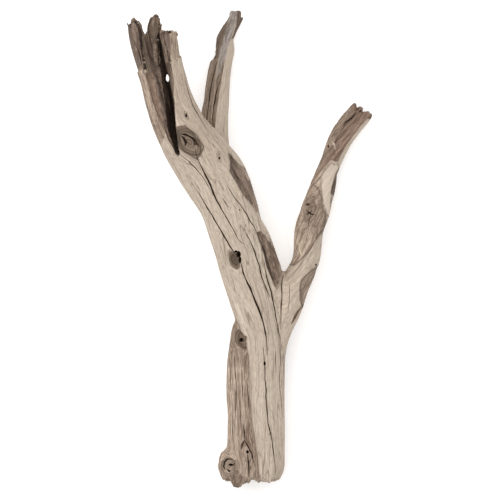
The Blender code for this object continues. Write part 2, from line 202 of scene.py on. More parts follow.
def mesh_object(name, bm):
    """Turns a finished bmesh into an object in the scene."""
    mesh = bpy.data.meshes.new(name)
    bm.to_mesh(mesh)
    bm.free()
    return new_object(name, mesh)


def loft(name, rows, sides=RING_SIDES, pitch=RING_PITCH, up=(0, 0, 1)):
    """A closed body through elliptical rings, one at each station, whose depth stands along up."""
    stations = smooth_rows(rows, pitch)
    headings = np.gradient(stations[:, :3], axis=0)
    bm = bmesh.new()
    last = []
    for station, heading in zip(stations, headings):
        forward = Vector(heading).normalized()
        across = forward.cross(Vector(up)).normalized()
        rise = across.cross(forward)
        turn = Matrix((across, rise, forward)).transposed().to_4x4()
        size = Matrix.Diagonal((*np.maximum(station[3:], LEAST_HALF * MM), 1, 1))
        place = Matrix.Translation(station[:3]) @ turn @ size
        ring = bmesh.ops.create_circle(bm, segments=sides, radius=1, matrix=place)["verts"]
        edges = list({edge for vert in ring for edge in vert.link_edges})
        if last:
            bmesh.ops.bridge_loops(bm, edges=last + edges)
        last = edges
    bmesh.ops.holes_fill(bm, edges=[e for e in bm.edges if e.is_boundary], sides=0)
    bmesh.ops.recalc_face_normals(bm, faces=bm.faces)
    return mesh_object(name, bm)


def join_bodies(name, pieces):
    bm = bmesh.new()
    for piece in pieces:
        bm.from_mesh(piece.data)
        bpy.data.objects.remove(piece)
    return mesh_object(name, bm)


def finished_mesh(obj):
    """A new mesh of what an object comes to with all its modifiers."""
    graph = bpy.context.evaluated_depsgraph_get()
    return bpy.data.meshes.new_from_object(obj.evaluated_get(graph))


def apply_modifiers(obj):
    mesh = finished_mesh(obj)
    obj.modifiers.clear()
    obj.data = mesh


def grow_skin(obj, pitch, passes):
    """One closed skin over all that the object holds, its creases slightly filled as in grown wood."""
    step = obj.modifiers.new("skin", "REMESH")
    step.mode = "VOXEL"
    step.voxel_size = pitch * MM
    soften = obj.modifiers.new("soften", "SMOOTH")
    soften.factor = 0.5
    soften.iterations = passes
    apply_modifiers(obj)


bodies = {**STRANDS, **OUTGROWTHS}
driftwood = join_bodies("driftwood_finished", [loft(name, rows) for name, rows in bodies.items()])
grow_skin(driftwood, FUSE_PITCH, passes=3)

# What broke off and what rotted out. The foot and the three limb ends are old torn breaks, and the left
# limb's crown is a rotten shell: a deep hollow, a slot in its floor, and one eye through its back wall.

HOLLOWS = {
    "crown_hollow": [
        (-66.8, 88, 98, 0.5, 8), (-68.2, 95, 101, 1.3, 10), (-73.6, 104, 102, 7.2, 18),
        (-76, 118, 108, 11.5, 24), (-80, 132, 110, 14.5, 27), (-83, 146, 111, 15.5, 28),
        (-84.8, 160, 112, 15.5, 30), (-86.8, 173.5, 111, 13, 33), (-90, 190, 108, 11, 37),
        (-92.5, 207, 106, 9.5, 37), (-93, 236, 106, 10.5, 36),
    ],
    "crown_slot": [
        (-67, 92, 88, 1.0, 8), (-69.4, 101, 83, 2.2, 14), (-71.8, 113, 80, 3.8, 18),
        (-73.6, 127, 79, 4.6, 20), (-75.6, 141.5, 79, 4.6, 20), (-78.2, 155.6, 80, 3.8, 20),
        (-80.8, 170, 82, 2.8, 20), (-83.3, 187, 84, 2.1, 20), (-86, 204, 86, 1.2, 18),
    ],
    "crown_eye": [
        (-77.5, 157.4, 60, 0.8, 16), (-77.8, 160.2, 60, 1.9, 18), (-78.0, 163.2, 60, 1.9, 18),
        (-78.3, 166, 60, 0.8, 16),
    ],
}
BREAK_TALL = 300
WELD = 0.01
BREAKS = {
    "foot_break": [
        (-42, -215), (-27, -217), (-22.6, -219.2), (-19.3, -217.8), (-17.4, -220.7), (-15.6, -224.2),
        (-12.3, -225.2), (-9, -224), (-7.1, -220.2), (-4.2, -219), (-1.4, -220.2), (0.5, -217.4),
        (4.7, -216.7), (8.5, -218.8), (12.3, -217.4), (17, -219.2), (22.6, -218.6), (27.8, -215),
        (31.4, -207.5), (33.6, -198), (44, -190), (44, -240), (-42, -240),
    ],
    "crown_break": [
        (-122, 213), (-115, 214.1), (-111.7, 215.5), (-108.3, 217.8), (-105.6, 215), (-103, 213.6),
        (-102, 207.8), (-100.1, 203), (-98.6, 201), (-97.2, 204.6), (-96.7, 212.7), (-94.8, 217.8),
        (-91.5, 221.3), (-90, 223.4), (-86.1, 220.4), (-84.2, 214.5), (-83.9, 206.5), (-79.2, 205.4),
        (-75.1, 206.3), (-71.7, 205.2), (-68.8, 206.9), (-56, 207), (-56, 245), (-122, 245),
    ],
    "back_limb_flake": [
        (-45, 215), (-26, 212), (-31, 202.7), (-32, 193.3), (-32.2, 184.6), (-35.9, 178.6), (-45, 178),
    ],
    "right_limb_break": [
        (92, 141), (98.6, 139.2), (99.8, 135.8), (100.9, 132.2), (102.8, 133.7), (104.2, 135.5),
        (105.5, 133.3), (104.9, 130.3), (106.8, 128.7), (111.5, 129.7), (114.1, 127), (122, 127),
        (122, 160), (92, 160),
    ],
    "back_limb_break": [
        (-22, 225), (-17, 225.4), (-13.2, 225), (-9.3, 225.6), (-10.6, 219.8), (-8.8, 219.2),
        (-6, 220.9), (2, 220.4), (2, 240), (-22, 240),
    ],
}


def break_block(name, outline):
    """An upright block with the outline of a break, which passes through the whole piece."""
    curve = bpy.data.curves.new(name, "CURVE")
    curve.dimensions = "2D"
    curve.fill_mode = "BOTH"
    curve.extrude = BREAK_TALL * MM / 2
    spline = curve.splines.new("POLY")
    spline.points.add(len(outline) - 1)
    for point, (x, y) in zip(spline.points, outline):
        point.co = (x * MM, y * MM, 0, 1)
    spline.use_cyclic_u = True
    drawn = new_object(name, curve)
    bm = bmesh.new()
    bm.from_mesh(finished_mesh(drawn))
    bpy.data.objects.remove(drawn)
    bmesh.ops.remove_doubles(bm, verts=bm.verts, dist=WELD * MM)
    bmesh.ops.recalc_face_normals(bm, faces=bm.faces)
    return mesh_object(name, bm)


def cut(obj, cutters):
    """Takes every cutter out of the object at once."""
    tools = bpy.data.collections.new("cutters")
    for cutter in cutters:
        tools.objects.link(cutter)
    step = obj.modifiers.new("cut", "BOOLEAN")
    step.operation = "DIFFERENCE"
    step.solver = "MANIFOLD"
    step.operand_type = "COLLECTION"
    step.collection = tools
    apply_modifiers(obj)
    for cutter in cutters:
        bpy.data.objects.remove(cutter)
    bpy.data.collections.remove(tools)


blocks = [break_block(name, outline) for name, outline in BREAKS.items()]
cut(driftwood, blocks + [loft(name, rows) for name, rows in HOLLOWS.items()])
grow_skin(driftwood, SKIN_PITCH, passes=1)

# The directions of the grain. The grain runs up each strand to the tip of its limb, spreads where the
# strand widens, winds round the right limb, and parts to flow round every knot, so a place on the wood is
# told along the grain.

STRAND_TABLES = {
    name: np.array(sorted(rows, key=lambda row: row[1]), float) for name, rows in STRANDS.items()
}
TWIST = 0.026
TWIST_FROM = -40
FOOT_Y = -200
SPREAD = 0.8
HOLD = 3

# Side is 1 on the face and -1 on the back, and a knot's lean is in degrees. The rings of a knot are a
# little like diamonds, the more so the nearer RING_POWER is to 1.
Knot = namedtuple("Knot", "side x y half_width half_length lean rim pit stain")
KNOTS = [Knot(*values) for values in [
    (1, -57, 101.5, 10.5, 16.5, 40, 1.0, 2.4, 0.35),
    (1, -14.2, -9.2, 5.4, 10.5, 18, 0.2, 1.6, 1.0),
    (1, -7.6, -84.2, 7, 10, 20, 0.9, 3.0, 0.45),
    (1, -19.8, -203.5, 7.5, 9, 0, 1.5, 2.6, 0.35),
    (1, 55.5, 38, 7.0, 12, -20, 0.6, 1.0, 0.2),
    (1, -2.4, -190.5, 4.0, 9, 0, 0.2, 0.6, 0.1),
    (1, -59.9, 126.4, 2.2, 4.5, 30, 0.2, 0.6, 0.3),
    (1, -28.8, 86.5, 2.4, 5.0, 10, 0.2, 0.6, 0.3),
    (-1, -20, 30, 9, 13, 15, 1.4, 3.0, 0.7),
    (-1, 12, -120, 8, 11, 0, 1.0, 3.4, 0.6),
    (-1, 60, 20, 6, 9, 0, 0.8, 2.2, 0.5),
    (-1, -70, 118, 7, 10, 30, 1.0, 2.6, 0.7),
]]
RING_POWER = 1.6
RING_SPREAD = 1.6
KNOT_SPAN = 1.6
KNOT_DEPTH = 1.3
LEAST_WEIGHT = 1e-9
NOISE_SIZE = 4096
NOISE_STRIDES = (73, 1619, 531)


def grid_noise(points, seed):
    """Smooth noise from -1 to 1 at each point: random numbers on a unit grid, blended between corners."""
    table = np.random.default_rng(seed).uniform(-1, 1, NOISE_SIZE)
    cell = np.floor(points).astype(np.int64)
    part = points - cell
    part = part * part * (3 - 2 * part)
    total = np.zeros(len(points))
    for corner in np.ndindex(2, 2, 2):
        value = table[((cell + corner) @ NOISE_STRIDES) % NOISE_SIZE]
        total += value * np.prod(np.where(corner, part, 1 - part), axis=1)
    return total


def ramp(value, low, high):
    """0 below low, 1 above high, and an even slope with rounded ends between them."""
    share = np.clip((value - low) / (high - low), 0, 1)
    return share * share * (3 - 2 * share)


def strand_at(table, y):
    """A strand's x, y, z, half width and half depth at each y."""
    return [np.interp(y, table[:, 1], column) for column in table.T]


def strand_places(points):
    """For each strand: how far each point lies from its heart, in its half sizes and in millimetres."""
    places = []
    for name, table in STRAND_TABLES.items():
        x, _, z, half_width, half_depth = strand_at(table, points[:, 1])
        across, rise = points[:, 0] - x, points[:, 2] - z
        reach = np.hypot(across / half_width, rise / half_depth)
        if name == "right_limb":
            turn = TWIST * np.maximum(0, points[:, 1] - TWIST_FROM)
            across, rise = (
                across * np.cos(turn) - rise * np.sin(turn),
                across * np.sin(turn) + rise * np.cos(turn),
            )
        places.append((reach, across, rise))
    return places


def straight_grain(points):
    """Each point's place across, through and along the grain, in millimetres, before the knots part it."""
    total = np.zeros((len(points), 3))
    weights = np.full(len(points), LEAST_WEIGHT)
    for table, (reach, across, rise) in zip(STRAND_TABLES.values(), strand_places(points)):
        steps = np.linalg.norm(np.diff(table[:, :3], axis=0), axis=1)
        lengths = np.concatenate([[0], np.cumsum(steps)])
        level = np.clip(points[:, 1], table[0, 1], table[-1, 1])
        along = np.interp(level, table[:, 1], lengths) + points[:, 1] - level
        along -= np.interp(FOOT_Y, table[:, 1], lengths)
        foot_x, _, foot_z, foot_width, _ = strand_at(table, FOOT_Y)
        wider = (np.interp(level, table[:, 1], table[:, 3]) / foot_width) ** SPREAD
        weight = np.exp(-HOLD * reach**2)
        place = np.column_stack([foot_x + across / wider, foot_z + rise / wider, along])
        total += weight[:, None] * place
        weights += weight
    return total / weights[:, None]


def surface_hit(tree, side, x, y):
    """The place on the surface seen at x, y from the face (side 1) or the back (side -1), in metres."""
    return tree.ray_cast(Vector((x, y, side)), Vector((0, 0, -side)))[0]


def surface_spot(tree, side, x, y):
    """The same place, with everything in millimetres."""
    return np.array(surface_hit(tree, side, x * MM, y * MM)) / MM


def skin_tree(obj):
    mesh = obj.data
    return BVHTree.FromPolygons([v.co for v in mesh.vertices], [p.vertices for p in mesh.polygons])


smooth_tree = skin_tree(driftwood)
knot_hearts = [surface_spot(smooth_tree, knot.side, knot.x, knot.y) for knot in KNOTS]


def knot_reach(points, knot, heart):
    """Distance of each point from the heart of a knot, in the knot's half sizes."""
    lean = np.radians(knot.lean)
    off = points - heart
    across = off[:, 0] * np.cos(lean) + off[:, 1] * np.sin(lean)
    along = off[:, 1] * np.cos(lean) - off[:, 0] * np.sin(lean)
    down = off[:, 2] / (KNOT_DEPTH * knot.half_width)
    shares = np.abs(np.column_stack([across / knot.half_width, along / knot.half_length, down]))
    return (shares**RING_POWER).sum(axis=1) ** (1 / RING_POWER)


def grain(points):
    """Each point's place in the grain, in millimetres: it parts round knots and curls up inside them."""
    places = straight_grain(points)
    hearts = straight_grain(np.array(knot_hearts))
    for knot, heart, heart_place in zip(KNOTS, knot_hearts, hearts):
        reach = knot_reach(points, knot, heart)
        outside = np.maximum(reach, 1)
        parted = 1 - np.exp(-(((outside - 1) / KNOT_SPAN) ** 2)) / outside**2
        off = places - heart_place
        off[:, 0] *= np.where(reach < 1, 0, parted)
        ringed = np.clip(1 - reach, 0, 1)
        places[:, 0] = heart_place[0] + off[:, 0] + ringed * knot.half_width * RING_SPREAD
        inside = np.minimum(reach, 1) ** 2
        places[:, 1] = heart_place[1] + off[:, 1] * inside
        places[:, 2] = heart_place[2] + off[:, 2] * inside
    return places


# Where the pale outer wood has gone and the brown wood under it shows: places that broke or rotted away,
# those that sand and water wore smooth, and the rotten crown. A few thin strips stand proud instead. Some
# of the colours here are painted light: shade in the crown's hollow, on the gouges' left walls and down
# the groove at the right limb's tip, and a highlight on the trunk's lip.

STRAW = (0.66, 0.58, 0.40)
LINEN = (0.69, 0.575, 0.47)
WORN = (0.475, 0.375, 0.292)
SANDY = (0.51, 0.40, 0.315)
TAUPE = (0.385, 0.295, 0.228)
DRAB = (0.30, 0.228, 0.175)
UMBER = (0.262, 0.193, 0.147)
SMOKED = (0.200, 0.145, 0.112)
RUSSET = (0.290, 0.200, 0.149)
BISTRE = (0.185, 0.133, 0.104)
# Painted shadow: the black deep in the crown's hollow.
SHADOW_BLACK = (0.060, 0.042, 0.033)
ASH = (0.40, 0.352, 0.318)

# Borders that several places share.
RIM_BORDER = [
    (-98.8, 160.3), (-96.5, 152.2), (-94.8, 144.2), (-92.6, 138.7), (-88.4, 129.3), (-83.5, 121.3),
    (-79.5, 110),
]
SIDE_BORDER = [(-19, -50.9), (-15.1, -58.5), (-9.4, -71.7), (-4.7, -83), (-1.9, -91.5)]

# Each place is (strand, side, depth, wall, edge, tint, outline): the strand it keeps to, if any, or the
# crown's shell, the side it is seen from, how deep it lies, how wide its wall is, how dark a line of dirt
# and painted shade follows its edge, its colour, and its outline. They lie over one another in this order.
BARE = {
    "upper_gouge_side": ("stem", 1, 0.3, 3.0, 0.3, TAUPE, [
        (-14.8, 86.2), (-8.6, 80.5), (-2.4, 75), (3, 67), (7, 58), (11, 50), (12, 36), (5, 36), (0, 44),
        (-6, 56), (-13, 68), (-19, 82),
    ]),
    "upper_gouge": ("stem", 1, 2.6, 2.0, 0.7, UMBER, [
        (-20.9, 91.6), (-18.9, 82.1), (-19.5, 74.1), (-14.8, 66), (-9.4, 56.6), (-4.1, 48.5),
        (1.3, 42.4), (4, 45.8), (3.8, 51.2), (1.8, 59.3), (-2.2, 67.3), (-7.4, 75.4), (-13, 83.5),
        (-17.5, 88.9),
    ]),
    "middle_gouge": ("", 1, 2.6, 3.0, 0.5, UMBER, [
        (6.1, 16), (8.2, 9.4), (11.8, 1.2), (13.6, -5.7), (17, -17), (21.2, -29.2), (24, -35.4),
        (26.2, -30.7), (28, -23.6), (27.6, -13.2), (23.6, -2.4), (19.5, 7.1), (12.4, 15.1), (8, 17.5),
    ]),
    "crotch_facet": ("", 1, 2.5, 0.8, 0.8, TAUPE, [
        (64.2, -12.7), (62.3, -14.2), (56.6, -18.9), (51.9, -23.6), (47.6, -28.8), (46.7, -32.1),
        (46.5, -39.6), (46.7, -47.2), (48.1, -51.4), (52, -56), (62, -50), (72, -30), (76, -12),
    ]),
    "limb_shoulder": ("right_limb", 1, 0.8, 1.6, 0.0, SANDY, [
        (78.3, 83.5), (73.6, 77.4), (69.8, 73.6), (67.5, 68.9), (67, 61.3), (68.4, 54), (65, 56),
        (62.2, 60.4), (60.5, 63), (57, 60), (54, 54), (50, 49), (42, 49), (40, 70), (55, 95), (70, 88),
    ]),
    "lens": ("right_limb", 1, 1.3, 0.8, 0.8, TAUPE, [
        (60.5, 63), (62.2, 60.4), (65.6, 57), (69.8, 44.4), (71.2, 35), (70.3, 29), (66.4, 18.9),
        (60.8, 8.1), (55.3, -1.3), (49.9, -8.1), (42, -14.5), (30, -11.3), (26, 0), (28, 11.3),
        (30, 22.6), (36, 35.8), (42, 49), (50, 49), (54, 54), (57, 60),
    ]),
    "lens_foot": ("right_limb", 1, 0.0, 7.0, 0.0, SANDY, [
        (66, 22), (62.2, 11.3), (55.7, 0), (52.8, -5.7), (47.2, -11.3), (42, -15.1), (30, -11.3),
        (26, 0), (24, 26), (44, 18), (52, 14),
    ]),
    "right_tip": ("right_limb", 1, 1.4, 0.8, 0.5, RUSSET, [
        (57.5, 62.3), (62.3, 68.9), (70.8, 78.9), (76.4, 85.2), (78.8, 83.7), (83.5, 83.5), (85.2, 88.7),
        (88.9, 97.4), (96.2, 108.2), (102.8, 117), (109.5, 125), (122, 126), (120, 150), (60, 150),
        (44, 90),
    ]),
    "right_tip_left": ("right_limb", 1, 0.0, 2.5, 0.0, DRAB, [
        (99, 145), (97.5, 129), (88.5, 120.5), (81.5, 107), (78, 95), (72, 84), (58, 66), (44, 90),
        (60, 150),
    ]),
    "plate_side": ("right_limb", 1, 2.4, 0.8, 0.6, SMOKED, [
        (85, 77.4), (82.2, 72.6), (80.4, 66), (79, 60.4), (78.2, 53), (80, 48), (90, 61.3), (92, 77.4),
    ]),
    "plate_top": ("right_limb", 1, -0.8, 0.6, 0.8, LINEN, [
        (76.8, 82.1), (80, 80.4), (83.9, 81.5), (85, 76.8), (82, 72.6), (80.2, 66), (78.6, 59),
        (77.4, 51), (75, 36), (73.4, 29), (71.4, 35), (70, 44.4), (67.6, 57.9), (66.9, 68.7),
        (71.4, 75.4),
    ]),
    "back_limb_left": ("back_limb", 1, 2.2, 7.0, 0.15, DRAB, [
        (-13.2, 226), (-14.5, 214), (-16.1, 208.8), (-20.2, 195.3), (-22.9, 182), (-26.3, 160.3),
        (-29.6, 141.5), (-32, 122.6), (-33, 114.5), (-36, 95), (-60, 90), (-60, 226),
    ]),
    "back_limb_flake": ("back_limb", 1, 0.9, 0.8, 0.3, SMOKED, [
        (-21, 214), (-23.6, 208), (-26.4, 199), (-28.6, 191), (-30.4, 182), (-45, 182), (-45, 214),
    ]),
    "back_limb_tip": ("back_limb", 1, 0.0, 1.6, 0.0, ASH, [
        (-26, 240), (-21, 214), (-23.6, 208), (-26.4, 199), (-28.6, 191), (-30.2, 180), (-33, 160),
        (-27, 170), (-22.6, 182), (-20.7, 188.6), (-17.9, 200), (-14.6, 211.2), (-12.3, 218.8),
        (-9.0, 240),
    ]),
    "back_limb_splinter": ("back_limb", 1, 0.9, 0.7, 0.3, SMOKED, [
        (-10.3, 240), (-12.2, 219), (-13.6, 212), (-15.5, 206), (-17.5, 200), (-5, 205), (0, 240),
    ]),
    "left_side": ("", 1, 1.2, 1.2, 0.35, SANDY, [
        *SIDE_BORDER, (-0.5, -103.8), (0, -132.1), (2.8, -160.4), (6.6, -188.7), (9.4, -207.5),
        (12, -228), (-50, -228), (-50, -50),
    ]),
    "left_side_head": ("", 1, 0.0, 3.0, 0.0, TAUPE, [
        *SIDE_BORDER, (-0.5, -112), (-22, -112), (-30, -80),
    ]),
    "foot_shade": ("", 1, 0.6, 1.5, 0.2, TAUPE, [
        (-6.6, -175.5), (-2.8, -184), (0.9, -193.4), (4.7, -205.7), (5.7, -226), (12, -226),
        (9.4, -207.5), (6.6, -188.7), (2.8, -169.8), (-1, -160),
    ]),
    "foot_edge": ("", 1, 0.0, 3.0, 0.0, DRAB, [
        (-27, -216), (-20, -215), (-13, -211), (-5, -214), (4, -217), (12, -220), (14, -232),
        (-30, -232),
    ]),
    "stub_shade": ("", 1, 0.0, 2.0, 0.0, UMBER, [
        (-16, -207), (-11, -206), (-7, -214), (-6, -228), (-18, -228), (-18, -216),
    ]),
    "knot_field": ("stem", 1, 0.5, 1.2, 0.9, DRAB, [
        (-67.9, 116), (-61.3, 117), (-54, 111), (-42.9, 97.2), (-46, 91), (-50, 84.9), (-58, 90),
        (-67, 96.2),
    ]),
    "left_board": ("crown", 1, 0.0, 0.8, 0.0, UMBER, [
        (-130, 150), (-98, 150), (-98, 190), (-96, 201), (-98, 240), (-130, 240),
    ]),
    "left_board_rot": ("crown", 1, 0.8, 1.2, 0.2, BISTRE, [
        (-112, 196), (-107, 194), (-105.4, 186), (-105, 178), (-104.6, 171), (-112, 170),
    ]),
    "left_board_top": ("crown", 1, 0.0, 2.5, 0.0, SMOKED, [
        (-130, 188), (-98, 184), (-96, 201), (-98, 240), (-130, 240),
    ]),
    "right_board": ("crown", 1, 0.0, 0.8, 0.0, SMOKED, [
        (-92, 150), (-60, 150), (-60, 240), (-92, 240),
    ]),
    "right_board_edge": ("crown", 1, 0.0, 0.8, 0.0, WORN, [
        (-74, 150), (-50, 150), (-50, 240), (-75, 240), (-74.4, 196), (-73.8, 184),
    ]),
    "left_rim": ("stem", 1, 0.0, 0.8, 0.0, TAUPE, [
        (-130, 168), (-99.5, 168), *RIM_BORDER, (-85, 98), (-110, 120), (-130, 150),
    ]),
    "pink_band": ("", 1, 0.6, 1.2, 0.2, RUSSET, [
        (-99.5, 166), *RIM_BORDER, (-77, 111), (-80.2, 118), (-82.2, 128), (-85.5, 141.5), (-87.3, 152),
        (-89.5, 160), (-91, 168),
    ]),
    "hollow_foot": ("", 1, 0.6, 1.2, 0.2, SMOKED, [
        (-83, 120.5), (-79.5, 110), (-78.2, 103), (-73, 95), (-68.5, 87), (-66, 90), (-69, 104),
        (-72, 116), (-78, 123),
    ]),
    # The hollow's wall: the dark brown of the rotten wood, darkened further by painted shade deep in the
    # hollow.
    "hollow_wall": ("", 1, 0.0, 0.8, 0.0, BISTRE, [
        (-89, 178), (-89, 168), (-86.9, 154.9), (-85.5, 141.5), (-82.2, 128), (-79.4, 118), (-75, 108),
        (-70, 99), (-66, 96), (-69, 118), (-71.4, 140), (-71.6, 160), (-74, 176),
    ]),
}
# The same for long narrow places, told by [(x, y, half width), ...] down their middle. Those with a depth
# below zero stand proud.
STRIPPED = {
    "back_of_left_limb": ("", -1, 2.2, 1.2, 0.7, UMBER, [
        (-40, 92, 2), (-34, 70, 7), (-22, 46, 8), (-14, 24, 2),
    ]),
    "back_of_trunk": ("", -1, 2.2, 1.2, 0.7, DRAB, [
        (30, -40, 2), (28, -70, 6), (24, -100, 7), (22, -128, 2),
    ]),
    # The cleft along the hollow's left lip and its foot: painted shade, black at the foot.
    "left_cleft": ("", 1, 0.0, 1.4, 0.0, BISTRE, [
        (-97, 197, 0.6), (-95.2, 190.5, 2.0), (-92.5, 180, 2.4), (-90, 169.7, 2.6), (-87.3, 162, 1.8),
    ]),
    "left_cleft_foot": ("", 1, 0.0, 1.2, 0.0, SHADOW_BLACK, [
        (-87.8, 164, 0.8), (-86.4, 158, 1.6), (-84.4, 151, 1.8), (-82.8, 143, 1.6), (-80.8, 135, 1.2),
        (-78.4, 126, 0.6),
    ]),
    "left_board_shade": ("crown", 1, 0.0, 1.6, 0.0, BISTRE, [
        (-104.5, 208, 0.8), (-101.5, 203, 1.8), (-99, 196, 1.6), (-98.4, 188, 0.8),
    ]),
    "hollow_ridge": ("", 1, 0.0, 1.2, 0.0, SMOKED, [
        (-89, 197, 1.2), (-87.4, 188, 2.0), (-86.2, 179, 2.2), (-84.6, 170, 2.0), (-82.6, 160.5, 1.8),
        (-80, 151, 1.6), (-77.6, 141.5, 1.4), (-76, 132, 0.8),
    ]),
    # A black line down the deep slot of the hollow: painted shadow.
    "deep_line": ("", 1, 0.0, 1.2, 0.0, SHADOW_BLACK, [
        (-85.2, 196, 0.8), (-84.2, 188.6, 1.5), (-82.6, 179, 1.7), (-80.9, 169.7, 1.7),
        (-79.4, 160, 1.6), (-76.4, 151, 2.0), (-73.4, 141.5, 2.4), (-73.2, 132, 3.0),
        (-72.8, 122.6, 3.2), (-71.4, 113, 2.4), (-69.6, 104, 1.6), (-67.6, 94, 0.8),
    ]),
    # Painted shade along the left walls of the two gouges, over the sunken wood.
    "upper_gouge_shade": ("stem", 1, 3.6, 1.6, 0.0, SMOKED, [
        (-18.5, 88, 0.8), (-17.3, 78, 1.8), (-13.5, 68, 2.3), (-7.0, 60, 2.3), (-1.2, 50, 1.6),
        (2.2, 43, 0.6),
    ]),
    "middle_gouge_shade": ("", 1, 3.0, 1.6, 0.0, SMOKED, [
        (9, 10, 0.8), (13, -2, 1.6), (16.5, -14, 1.9), (20.5, -26, 1.6), (23.5, -33, 0.8),
    ]),
    # A groove down the right limb's tip, its dark tint partly the wood and partly painted shade in the
    # groove.
    "tip_groove": ("right_limb", 1, 1.8, 1.5, 0.0, SMOKED, [
        (104.4, 131.5, 1.0), (96, 125, 1.4), (90.3, 119.9, 1.7), (82, 106.6, 1.9), (79.2, 93.4, 1.5),
        (80, 88, 0.4),
    ]),
    "yellow_streak": ("right_limb", 1, -0.2, 0.8, 0.0, STRAW, [
        (42.9, 10.4, 0.4), (45.8, 1.9, 1.1), (48.1, -5.5, 0.4),
    ]),
    "tip_rib": ("right_limb", 1, -0.3, 1.0, 0.3, SANDY, [
        (74.6, 105, 0.5), (77.4, 102.8, 1.1), (79.6, 99.6, 1.2), (80.4, 95.5, 0.6),
    ]),
    # A raised lip on the trunk, its pale colour a painted highlight.
    "trunk_lip_highlight": ("", 1, -0.6, 0.8, 0.0, LINEN, [(-13.4, -51, 0.9), (-8, -62, 1.5), (-3.4, -73, 0.9)]),
    "back_of_right_limb": ("", -1, 1.8, 1.2, 0.6, TAUPE, [
        (66, 50, 2), (72, 70, 6), (80, 90, 5), (88, 106, 1.5),
    ]),
}
LEDGE_LEFT = (-104, 167)
LEDGE_RIGHT = (-68, 179.5)
LEDGE_DEPTH = 1.5
LEDGE_RAGGED = 2.0
CROWN_RIGHT = -50
CROWN_FOOT = 85
SHELL = 0.84
SHELL_LAP = 1.5
SHELL_SLOPE = 22
BROWN_INSIDE = [
    (-130, 167), (-99.5, 167), *RIM_BORDER, (-78.2, 103), (-73, 95), (-68, 86), (-60, 85), (-60, 240),
    (-130, 240),
]
RAGGED = 0.25
RAGGED_CELL = 2.2
RAGGED_LONG = 0.4
GRAIN_RAGGED = 0.4
GRAIN_CELL = (1.5, 1.5, 16)
STRAND_SLOPE = 12
FACING_LEAST = 0.3
FACING_SLOPE = 14
FACING_WANDER = 5
FAR = 1e6
BarePlace = namedtuple("BarePlace", "side depth wall edge tint distance")


def outline_distance(points, outline):
    """Distance in millimetres from each point to an outline's edge, positive inside it."""
    corners = np.array(outline + outline[:1], float)
    nearest = np.full(len(points), FAR)
    inside = np.zeros(len(points), bool)
    x, y = points[:, 0], points[:, 1]
    for (x0, y0), (x1, y1) in zip(corners, corners[1:]):
        run_x, run_y = x1 - x0, y1 - y0
        along = np.clip(((x - x0) * run_x + (y - y0) * run_y) / (run_x**2 + run_y**2), 0, 1)
        nearest = np.minimum(nearest, np.hypot(x - x0 - along * run_x, y - y0 - along * run_y))
        slope = run_x / run_y if run_y else 0
        inside ^= ((y0 > y) != (y1 > y)) & (x < x0 + (y - y0) * slope)
    return np.where(inside, nearest, -nearest)


def line_distance(points, line):
    """Distance in millimetres from each point to the edge of a line with a half width, positive inside."""
    nearest = np.full(len(points), -FAR)
    x, y = points[:, 0], points[:, 1]
    for (x0, y0, w0), (x1, y1, w1) in zip(line, line[1:]):
        run_x, run_y = x1 - x0, y1 - y0
        along = np.clip(((x - x0) * run_x + (y - y0) * run_y) / (run_x**2 + run_y**2), 0, 1)
        off = np.hypot(x - x0 - along * run_x, y - y0 - along * run_y)
        nearest = np.maximum(nearest, w0 + (w1 - w0) * along - off)
    return nearest


def strand_reaches(points):
    return np.array([reach for reach, *_ in strand_places(points)])


def bare_places(points, places, facing):
    """All the places where the outer wood has gone, each with every point's distance inside its border."""
    ragged = np.column_stack([points[:, 0], points[:, 1] * RAGGED_LONG, points[:, 2]]) / RAGGED_CELL
    wander = RAGGED * grid_noise(ragged, 41) + GRAIN_RAGGED * grid_noise(places / GRAIN_CELL, 42)
    reaches = strand_reaches(points)
    share = (points[:, 0] - LEDGE_LEFT[0]) / (LEDGE_RIGHT[0] - LEDGE_LEFT[0])
    ends = LEDGE_LEFT[1] + share * (LEDGE_RIGHT[1] - LEDGE_LEFT[1])
    past = points[:, 1] - ends - LEDGE_RAGGED * grid_noise(points * (0.35, 0, 0.35), 31)
    crown = (points[:, 0] < CROWN_RIGHT) & (points[:, 1] > CROWN_FOOT)
    out_of_shell = (reaches[0] - SHELL) * SHELL_SLOPE
    outer = np.where(crown, np.minimum(past, SHELL_LAP + out_of_shell), -FAR)
    brown_in = outline_distance(points, BROWN_INSIDE)
    inner = np.where(crown, np.minimum(SHELL_LAP - out_of_shell, brown_in), -FAR)
    belongs = {"": np.full(len(points), FAR), "crown": outer}
    for number, name in enumerate(STRANDS):
        belongs[name] = STRAND_SLOPE * (np.delete(reaches, number, axis=0).min(axis=0) - reaches[number])
    found = [BarePlace(0, LEDGE_DEPTH, 1.0, 0.0, UMBER, outer), BarePlace(0, 0.0, 1.0, 0.0, DRAB, inner)]
    for table, distance in ((BARE, outline_distance), (STRIPPED, line_distance)):
        for owner, side, depth, wall, edge, tint, shape in table.values():
            turned = (facing * side + FACING_LEAST) * FACING_SLOPE + FACING_WANDER * wander
            gate = np.minimum(turned, belongs[owner])
            inside = np.minimum(distance(points, shape) + wander, gate)
            found.append(BarePlace(side, depth, wall, edge, tint, inside))
    return found


# The relief of the surface: the long ribs of the grain, the fine furrows that the weather cuts in bare
# wood, the step down to each bare place, the knots with their rings, and the splintered ends.

# Ribs are (height, breadth, length), furrows (depth, breadth, length, width of the cut as a share).
RIBS = [(2.4, 13, 130), (1.2, 6, 70)]
FINE_RIBS = [(0.55, 3.2, 60), (0.28, 1.7, 34)]
FURROWS = [(0.9, 3.4, 70, 0.30), (0.5, 2.0, 40, 0.36)]
COVERED_RIBS = 0.45
COVERED_FURROWS = 0.12
RIM_WIDTH = 0.35
PIT_REACH = 0.85


